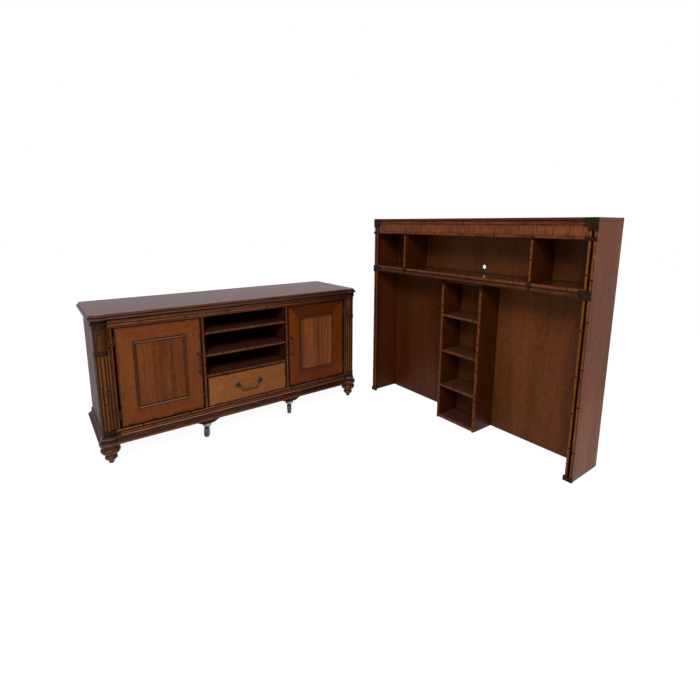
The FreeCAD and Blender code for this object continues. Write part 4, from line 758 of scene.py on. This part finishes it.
def paint_base():
    """Gives every node of the base its material."""
    give(top_wood(shade(96, 52, 35), shade(82, 45, 27), shade(116, 72, 54)), "base_top")
    give(plain_wood("cornice_wood", shade(72, 40, 30), "Y", gloss=0.15), "side_cornices")
    give(base_side_wood(shade(74, 38, 27), shade(38, 21, 16)), "right_side_panel", "left_side_panel")
    # Painted shade: the bay's partitions take a darker tone than its back.
    give(plain_wood("shaded_inner_wood", shade(72, 33, 17), "Z"),
         "right_partition", "left_partition")
    give(plain_wood("bay_back_wood", shade(100, 51, 31), "Z", gloss=0.2), "base_back")
    bay_edge = BASE_Y + BAY_SHELF_EDGE
    give(edged_wood("bay_shelf_wood", shade(68, 38, 27), "X", shade(112, 60, 30), "Y", bay_edge),
         "bay_shelves", "bay_floor")
    give(plain_wood("shelf_wood", shade(88, 46, 27), "X"), "cabinet_shelves", "base_deck")
    give(beaded_rail("frieze_wood", shade(98, 56, 32), shade(132, 72, 36), FRIEZE_BEAD_Z, FRIEZE_BEAD,
                     0.65), "base_frieze")
    give(beaded_rail("rail_wood", shade(88, 47, 26), shade(156, 96, 64), RAIL_BEAD_Z, RAIL_BEAD, 0.3),
         "base_bottom_rail")
    give(plinth_wood(shade(104, 57, 32), shade(170, 122, 100), shade(58, 34, 25)), "plinth_front")
    give(plain_wood("side_moulding", shade(64, 34, 24), "Y", 0.3, 0.35, 0.03), "plinth_sides")
    give(bamboo_wood("turned_wood", shade(96, 56, 26), "Z", 0.1, 0.5, 0.18), "turned_feet")
    give(column_wood(shade(118, 66, 30)), "right_column", "left_column")
    give(upright_reeds("stile_wood", shade(114, 60, 28), STILE_CREST, STILE_CREST_HALF), "face_stiles")
    give(upright_reeds("post_wood", shade(126, 66, 31), POST_REEDS, POST_REED), "centre_posts")
    give(wrapped_binding("column_binding", "Z", shade(74, 44, 34)), "column_bindings")
    give(door_veneer("right_veneer", BASE_X + DOOR_OUT, shade(115, 52, 11), shade(88, 39, 10), 0.6),
         "right_door_frame")
    give(door_veneer("left_veneer", BASE_X - DOOR_OUT, shade(122, 65, 28), shade(116, 58, 23), 0.0),
         "left_door_frame")
    give(plain_wood("panel_wood", shade(76, 41, 22), "Z"), "left_door_panel", "right_door_panel")
    give(door_moulding("right_moulding", BASE_X + DOOR_OUT, 0.15, 0.6), "right_door_moulding")
    give(door_moulding("left_moulding", BASE_X - DOOR_OUT, 1.0, 0.9), "left_door_moulding")
    give(woven_front(shade(170, 102, 54)), "drawer_front")
    give(plain_wood("drawer_wood", shade(146, 106, 68), "Y", 0.15, 0.5), "drawer_box", "drawer_runners")
    give(metal("dark_bronze", shade(42, 33, 27), 0.42, shade(76, 59, 45), 0.7),
         "right_pull", "left_pull", "pull_rosettes", "drawer_bail")
    give(matt("hinge_bronze", shade(16, 13, 11), shade(54, 45, 35), 0.5, 140.0, 0.12),
         "frame_hinge_leaves", "right_hinge_leaves", "left_hinge_leaves")
    give(metal("zinc", shade(176, 178, 180), 0.35, shade(216, 218, 220), 0.4),
         "caster_plates", "left_caster_fork", "right_caster_fork", "shelf_pins")
    give(matt("tyre_rubber", shade(14, 14, 15), shade(80, 82, 84), 0.4, 60.0),
         "left_caster_wheel", "right_caster_wheel")
    give(matt("pale_wood", shade(214, 196, 158), shade(188, 166, 126), 0.6, 120.0), "caster_shims")
    give(matt("black_paint", shade(22, 16, 13), shade(38, 29, 23), 0.55, 60.0, 0.08), "caster_blocks")


def paint_hutch():
    """Gives every node of the hutch its material."""
    # Painted shade: the inner side, partitions and tower sides take darker tones than the lit outer side.
    shaded_inner = shade(68, 29, 10)
    edge = shade(118, 61, 26)
    shelf = shade(78, 48, 34)
    give(hutch_side_wood(shade(128, 70, 45), shade(134, 86, 56)), "hutch_right_side")
    give(plain_wood("hutch_shaded_side_wood", shade(78, 34, 12), "Z", 0.2, 0.4, 0.06), "hutch_left_side")
    give(hutch_top_wood(shade(88, 44, 24), shade(120, 66, 43)), "hutch_top")
    give(hutch_back_wood(shade(93, 47, 20), shade(102, 56, 26)), "hutch_back")
    give(edged_wood("tower_side_wood", shaded_inner, "Z", edge, "X", HUTCH_X + TOWER_SIDE_EDGE), "tower_sides")
    give(edged_wood("partition_wood", shaded_inner, "Z", edge, "X", HUTCH_X + PARTITION_EDGE),
         "hutch_partitions")
    give(edged_wood("long_shelf_wood", scaled(shelf, 0.8), "Y", edge, "X", HUTCH_X + LONG_SHELF_EDGE,
                    0.15, 0.16), "hutch_shelf")
    give(edged_wood("tower_shelf_wood", shelf, "Y", edge, "X", HUTCH_X + TOWER_SHELF_EDGE, 0.15),
         "tower_shelves")
    give(bamboo_wood("tower_rail_wood", shade(90, 46, 22), "Y", 0.15, 0.5), "tower_rail")
    give(figured_frieze(shade(130, 69, 33)), "hutch_frieze")
    give(bamboo_wood("hutch_reed_wood", shade(112, 59, 29), "Y", 0.08, 0.8), "hutch_reeds")
    give(bamboo_wood("hutch_rail_wood", shade(88, 44, 21), "Y", 0.1, 0.7), "hutch_rail")
    give(hutch_stile_wood(shade(136, 74, 29), shade(108, 60, 38)), "hutch_stiles")
    give(wrapped_binding("hutch_binding", "Z", shade(64, 38, 27)), "hutch_bindings")
    give(matt("black_plastic", shade(18, 18, 20), shade(30, 30, 32), 0.4, 100.0), "wire_grommet")


# Bamboo nodes: raised rings with a dark groove on the reeds, in metres and degrees.
RING_WIDTH = 0.017
RING_RISE = 0.0013
RING_SEAT = 0.0002
RING_HALF_TURN = 88.0
RING_STEPS = 10

# A ring's profile in shares of its width and rise, and the stretches of it that are the groove.
RING_PROFILE = ((-0.5, 0.0), (-0.32, 0.8), (-0.2, 0.9), (0.0, 0.3), (0.2, 0.9), (0.32, 0.8), (0.5, 0.0))
RING_GROOVE = (2, 3)

# Way to the first node and on to each next one in shares of the pitch, bare end in metres, and seeds.
FIRST_NODE = (0.3, 0.9)
NEXT_NODE = (0.8, 1.2)
BARE_END = 0.02
BASE_SEED = 5
HUTCH_SEED = 9

# Reeds of the columns: radius in metres, and turns in degrees.
THIN_REED = 0.01035
THIN_REED_HALF_TURN = 80.0
COLUMN_TURNS = (-90, -60, -30, 0, 30, 60)
COLUMN_RING_HALF_TURN = 40.0

# Pitch of the nodes along each sort of reed, in metres.
BASE_LEVEL_PITCH = 0.25
BASE_UPRIGHT_PITCH = 0.2
COLUMN_PITCH = 0.34
HUTCH_LEVEL_PITCH = 0.24
HUTCH_STILE_PITCH = 0.26
PARTITION_PITCH = 0.13
TOWER_PITCH = 0.24

# Level reeds that carry nodes: how far back and how high their axis lies, and their radius, in metres.
FRIEZE_REED = (-0.002, FRIEZE_BEAD_Z, FRIEZE_BEAD)
RAIL_REED = (0.0, RAIL_BEAD_Z, RAIL_BEAD)
BAY_REEDS = ((0.008, 0.729, 0.009), (0.008, 0.573, 0.009), (0.0035, 0.4305, 0.0075))
HUTCH_RAIL_Z = 1.079
HUTCH_LEVEL_REEDS = (
    (HUTCH_REED, node_high("hutch_reeds", Z) - HUTCH_REED, HUTCH_REED),
    (HUTCH_REED, node_low("hutch_reeds", Z) + HUTCH_REED, HUTCH_REED),
    (LONG_SHELF_EDGE, node_middle("hutch_shelf", Z), LONG_SHELF_EDGE),
    (HUTCH_REED, HUTCH_RAIL_Z, HUTCH_REED),
)
BEAD_HALF_LONG = 0.86
BAY_HALF_LONG = 0.297
HUTCH_HALF_LONG = 0.815

# Upright reeds that carry nodes: lower and upper end, and the place and radius of the tower's, in metres.
BASE_UPRIGHT_SPAN = (0.212, 0.843)
HUTCH_STILE_SPAN = (0.04, 1.37)
PARTITION_SPAN = (1.14, 1.35)
TOWER_SPAN = (0.04, 1.0)
TOWER_REED_OUT = 0.1625
TOWER_REED = 0.0095


def ring(mesh, centre, along, front, radius, half_turn):
    """Adds one ring over the front of a reed: two pale lips with a dark groove between them."""
    side = along.cross(front)
    rows = []
    for step in range(RING_STEPS + 1):
        turn = math.radians(half_turn * (2 * step / RING_STEPS - 1))
        out = front * math.cos(turn) + side * math.sin(turn)
        row = []
        for share, lift in RING_PROFILE:
            reach = radius + RING_SEAT + lift * RING_RISE
            row.append(mesh.verts.new(centre + along * (share * RING_WIDTH) + out * reach))
        rows.append(row)
    for first, second in zip(rows, rows[1:]):
        for i in range(len(RING_PROFILE) - 1):
            face = mesh.faces.new((first[i], first[i + 1], second[i + 1], second[i]))
            face.smooth = True
            face.material_index = 1 if i in RING_GROOVE else 0


def reed_rings(mesh, start, end, front, radius, pitch, chance, half_turn=RING_HALF_TURN):
    """Rings spaced unevenly along a reed from start to end."""
    along = (end - start).normalized()
    length = (end - start).length
    place = pitch * chance.uniform(*FIRST_NODE)
    while place < length - BARE_END:
        ring(mesh, start + along * place, along, front, radius, half_turn)
        place += pitch * chance.uniform(*NEXT_NODE)


def scene_piece(name, mesh, body, slot, *materials):
    """Makes a mesh a named piece that moves with a CAD body and carries the given materials; the slot is not
    used.
    """
    data = bpy.data.meshes.new(name)
    bmesh.ops.recalc_face_normals(mesh, faces=mesh.faces)
    mesh.to_mesh(data)
    mesh.free()
    for material in materials:
        data.materials.append(material)
    piece = bpy.data.objects.new(name, data)
    bpy.context.scene.collection.objects.link(piece)
    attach(piece, body)


def column_reed(side, turn):
    """Way out, foot and head of a column's reed, turned in degrees from the front towards the middle bay."""
    angle = math.radians(turn)
    out = Vector((-side * math.sin(angle), -math.cos(angle), 0))
    middle = base_place(0, 0, 0) + Vector((side * COLUMN_OUT, COLUMN_BACK, 0))
    middle += out * (COLUMN_RADIUS - THIN_REED)
    return out, middle + Vector((0, 0, COLUMN_REEDS_LOW)), middle + Vector((0, 0, COLUMN_REEDS_HIGH))


def base_nodes(light, dark):
    """Nodes on the level and upright reeds of the base and on its columns."""
    chance = random.Random(BASE_SEED)
    mesh = bmesh.new()
    front = Vector((0, -1, 0))
    level = [(BEAD_HALF_LONG, FRIEZE_REED), (BEAD_HALF_LONG, RAIL_REED)]
    level += [(BAY_HALF_LONG, reed) for reed in BAY_REEDS]
    for half, (back, z, radius) in level:
        start = base_place(-half, back, z)
        end = base_place(half, back, z)
        reed_rings(mesh, start, end, front, radius, BASE_LEVEL_PITCH, chance)
    low, high = BASE_UPRIGHT_SPAN
    for reeds, radius in ((POST_REEDS, POST_REED), (STILE_REEDS, STILE_REED)):
        for reed in reeds:
            for side in (-1, 1):
                start = base_place(side * reed, 0, low)
                end = base_place(side * reed, 0, high)
                reed_rings(mesh, start, end, front, radius, BASE_UPRIGHT_PITCH, chance)
    for side in (-1, 1):
        for turn in COLUMN_TURNS:
            out, start, end = column_reed(side, turn)
            reed_rings(mesh, start, end, out, THIN_REED, COLUMN_PITCH, chance, COLUMN_RING_HALF_TURN)
    scene_piece("base_bamboo_nodes", mesh, "carcass", "reed_wood", light, dark)


def hutch_nodes(light, dark):
    """Nodes on the level and upright reeds of the hutch."""
    chance = random.Random(HUTCH_SEED)
    mesh = bmesh.new()
    front = Vector((-1, 0, 0))
    for back, z, radius in HUTCH_LEVEL_REEDS:
        start = hutch_place(-HUTCH_HALF_LONG, back, z)
        end = hutch_place(HUTCH_HALF_LONG, back, z)
        reed_rings(mesh, start, end, front, radius, HUTCH_LEVEL_PITCH, chance)
    stile = (HUTCH_REED, HUTCH_REED, HUTCH_STILE_SPAN, HUTCH_STILE_PITCH)
    upright = [(reed, *stile) for reed in HUTCH_REEDS]
    upright.append((PARTITION_OUT, PARTITION_EDGE, PARTITION_EDGE, PARTITION_SPAN, PARTITION_PITCH))
    upright.append((TOWER_REED_OUT, TOWER_SIDE_EDGE, TOWER_REED, TOWER_SPAN, TOWER_PITCH))
    for side in (-1, 1):
        for aside, back, radius, (low, high), pitch in upright:
            start = hutch_place(side * aside, back, low)
            end = hutch_place(side * aside, back, high)
            reed_rings(mesh, start, end, front, radius, pitch, chance)
    scene_piece("hutch_bamboo_nodes", mesh, "carcass", "reed_wood", light, dark)


def thin_reeds(material):
    """Reeds that lie in the grooves between the columns' main ones."""
    mesh = bmesh.new()
    for side in (-1, 1):
        for turn in COLUMN_TURNS[::2]:
            out, start, end = column_reed(side, turn)
            aside = (end - start).normalized().cross(out)
            rows = []
            for step in range(2 * RING_STEPS + 1):
                angle = math.radians(THIN_REED_HALF_TURN * (step / RING_STEPS - 1))
                reach = (out * math.cos(angle) + aside * math.sin(angle)) * THIN_REED
                rows.append((mesh.verts.new(start + reach), mesh.verts.new(end + reach)))
            for first, second in zip(rows, rows[1:]):
                face = mesh.faces.new((*first, *reversed(second)))
                face.smooth = True
    scene_piece("column_thin_reeds", mesh, "carcass", "reed_wood", material)


def panel_reeds(door, middle_x, material):
    """Fine upright reeds seated in the front of one door's panel."""
    mesh = bmesh.new()
    seat = PANEL_FACE + PANEL_REED_SEAT
    for reed in range(PANEL_REED_COUNT):
        left = middle_x + (reed - PANEL_REED_COUNT / 2) * PANEL_REED
        low = []
        high = []
        for step in range(PANEL_REED_STEPS + 1):
            share = step / PANEL_REED_STEPS
            x = left + share * PANEL_REED
            y = seat - (PANEL_REED_SEAT + PANEL_REED_RISE) * math.sin(math.pi * share)
            low.append(mesh.verts.new((x, y, DOOR_Z - PANEL_REED_HALF_TALL)))
            high.append(mesh.verts.new((x, y, DOOR_Z + PANEL_REED_HALF_TALL)))
        for i in range(PANEL_REED_STEPS):
            mesh.faces.new((low[i], low[i + 1], high[i + 1], high[i]))
        mesh.faces.new((low[0], high[0], high[-1], low[-1]))
        mesh.faces.new(low)
        mesh.faces.new(high)
    scene_piece(door + "_panel_reeds", mesh, door, "panel_veneer", material)


def door_reeds():
    """The reeds of both doors' panels, each in its own stain."""
    left_x = BASE_X - DOOR_OUT
    right_x = BASE_X + DOOR_OUT
    left_wood = reeded_panel("left_reeds", left_x, shade(128, 69, 29), 75.0, 0.42, 0.42)
    right_wood = reeded_panel("right_reeds", right_x, shade(155, 86, 45), 160.0, 0.46, 0.6)
    panel_reeds("left_door", left_x, left_wood)
    panel_reeds("right_door", right_x, right_wood)


# Floor, light and camera.
def seen_directly(tree):
    """1 for rays from the camera, mirrors and glass, which see the plain white background."""
    path = tree.nodes.new("ShaderNodeLightPath")
    total = path.outputs["Is Camera Ray"]
    for name in ("Is Glossy Ray", "Is Transmission Ray"):
        larger = tree.nodes.new("ShaderNodeMath")
        larger.operation = "MAXIMUM"
        tree.links.new(total, larger.inputs[0])
        tree.links.new(path.outputs[name], larger.inputs[1])
        total = larger.outputs[0]
    return total


def make_world():
    """An even sky for light, and plain white where it is seen directly."""
    world = bpy.data.worlds.new("studio")
    bpy.context.scene.world = world
    world.use_nodes = True
    tree = world.node_tree
    tree.nodes.clear()
    light = tree.nodes.new("ShaderNodeBackground")
    light.inputs["Color"].default_value = SKY_TINT
    light.inputs["Strength"].default_value = SKY
    white = tree.nodes.new("ShaderNodeBackground")
    white.inputs["Color"].default_value = (1.0, 1.0, 1.0, 1.0)
    mixed = tree.nodes.new("ShaderNodeMixShader")
    output = tree.nodes.new("ShaderNodeOutputWorld")
    tree.links.new(seen_directly(tree), mixed.inputs[0])
    tree.links.new(light.outputs[0], mixed.inputs[1])
    tree.links.new(white.outputs[0], mixed.inputs[2])
    tree.links.new(mixed.outputs[0], output.inputs[0])


def make_floor():
    """A wide white floor that keeps a faint shadow."""
    material = bpy.data.materials.new("floor_white")
    material.use_nodes = True
    material.cycles.emission_sampling = "NONE"
    tree = material.node_tree
    tree.nodes.clear()
    plain = tree.nodes.new("ShaderNodeBsdfDiffuse")
    plain.inputs["Color"].default_value = FLOOR_GREY
    glow = tree.nodes.new("ShaderNodeEmission")
    glow.inputs["Strength"].default_value = FLOOR_WHITE
    thin = tree.nodes.new("ShaderNodeBsdfDiffuse")
    rest = (1.0 - FLOOR_WHITE) / SKY
    thin.inputs["Color"].default_value = (rest, rest, rest, 1.0)
    added = tree.nodes.new("ShaderNodeAddShader")
    mixed = tree.nodes.new("ShaderNodeMixShader")
    output = tree.nodes.new("ShaderNodeOutputMaterial")
    tree.links.new(glow.outputs[0], added.inputs[0])
    tree.links.new(thin.outputs[0], added.inputs[1])
    tree.links.new(seen_directly(tree), mixed.inputs[0])
    tree.links.new(plain.outputs[0], mixed.inputs[1])
    tree.links.new(added.outputs[0], mixed.inputs[2])
    tree.links.new(mixed.outputs[0], output.inputs[0])
    mesh = bmesh.new()
    bmesh.ops.create_grid(mesh, x_segments=1, y_segments=1, size=FLOOR_HALF)
    data = bpy.data.meshes.new("floor")
    mesh.to_mesh(data)
    mesh.free()
    data.materials.append(material)
    floor = bpy.data.objects.new("floor", data)
    floor.location.z = -FLOOR_DROP
    bpy.context.scene.collection.objects.link(floor)


def soft_box(name, place, target, size, watts):
    """A flat lamp that faces a target."""
    data = bpy.data.lights.new(name, "AREA")
    data.shape = "RECTANGLE"
    data.size = size[0]
    data.size_y = size[1]
    data.energy = watts
    lamp = bpy.data.objects.new(name, data)
    lamp.location = place
    lamp.rotation_euler = (Vector(target) - Vector(place)).to_track_quat("-Z", "Y").to_euler()
    bpy.context.scene.collection.objects.link(lamp)


def make_camera():
    """The photograph's camera: it looks down a little and is rolled a little."""
    data = bpy.data.cameras.new("camera")
    data.sensor_width = CAMERA_SENSOR
    data.lens = CAMERA_LENS
    data.shift_y = CAMERA_SHIFT_Y
    camera = bpy.data.objects.new("camera", data)
    pitch = math.radians(CAMERA_PITCH)
    roll = math.radians(CAMERA_ROLL)
    level = Vector((CAMERA_HEADING[0], CAMERA_HEADING[1], 0)).normalized()
    ahead = level * math.cos(pitch) - Vector((0, 0, math.sin(pitch)))
    right = ahead.cross(Vector((0, 0, 1))).normalized()
    up = right.cross(ahead)
    rolled_right = right * math.cos(roll) + up * math.sin(roll)
    rolled_up = up * math.cos(roll) - right * math.sin(roll)
    turn = Matrix((rolled_right, rolled_up, -ahead)).transposed()
    camera.matrix_world = Matrix.Translation(CAMERA_PLACE) @ turn.to_4x4()
    bpy.context.scene.collection.objects.link(camera)
    bpy.context.scene.camera = camera


paint_base()
paint_hutch()
lip = plain_wood("node_lip", shade(104, 54, 26), "Z")
groove = matt("node_groove", shade(26, 13, 7), shade(40, 22, 12), 0.6, 200.0, 0.05)
base_nodes(lip, groove)
thin_reeds(NODES["left_column"].data.materials[0])
hutch_nodes(lip, groove)
door_reeds()
make_world()
make_floor()
soft_box("key", KEY_PLACE, KEY_TARGET, KEY_SIZE, KEY_WATTS)
make_camera()
bpy.context.scene.view_settings.view_transform = "Standard"
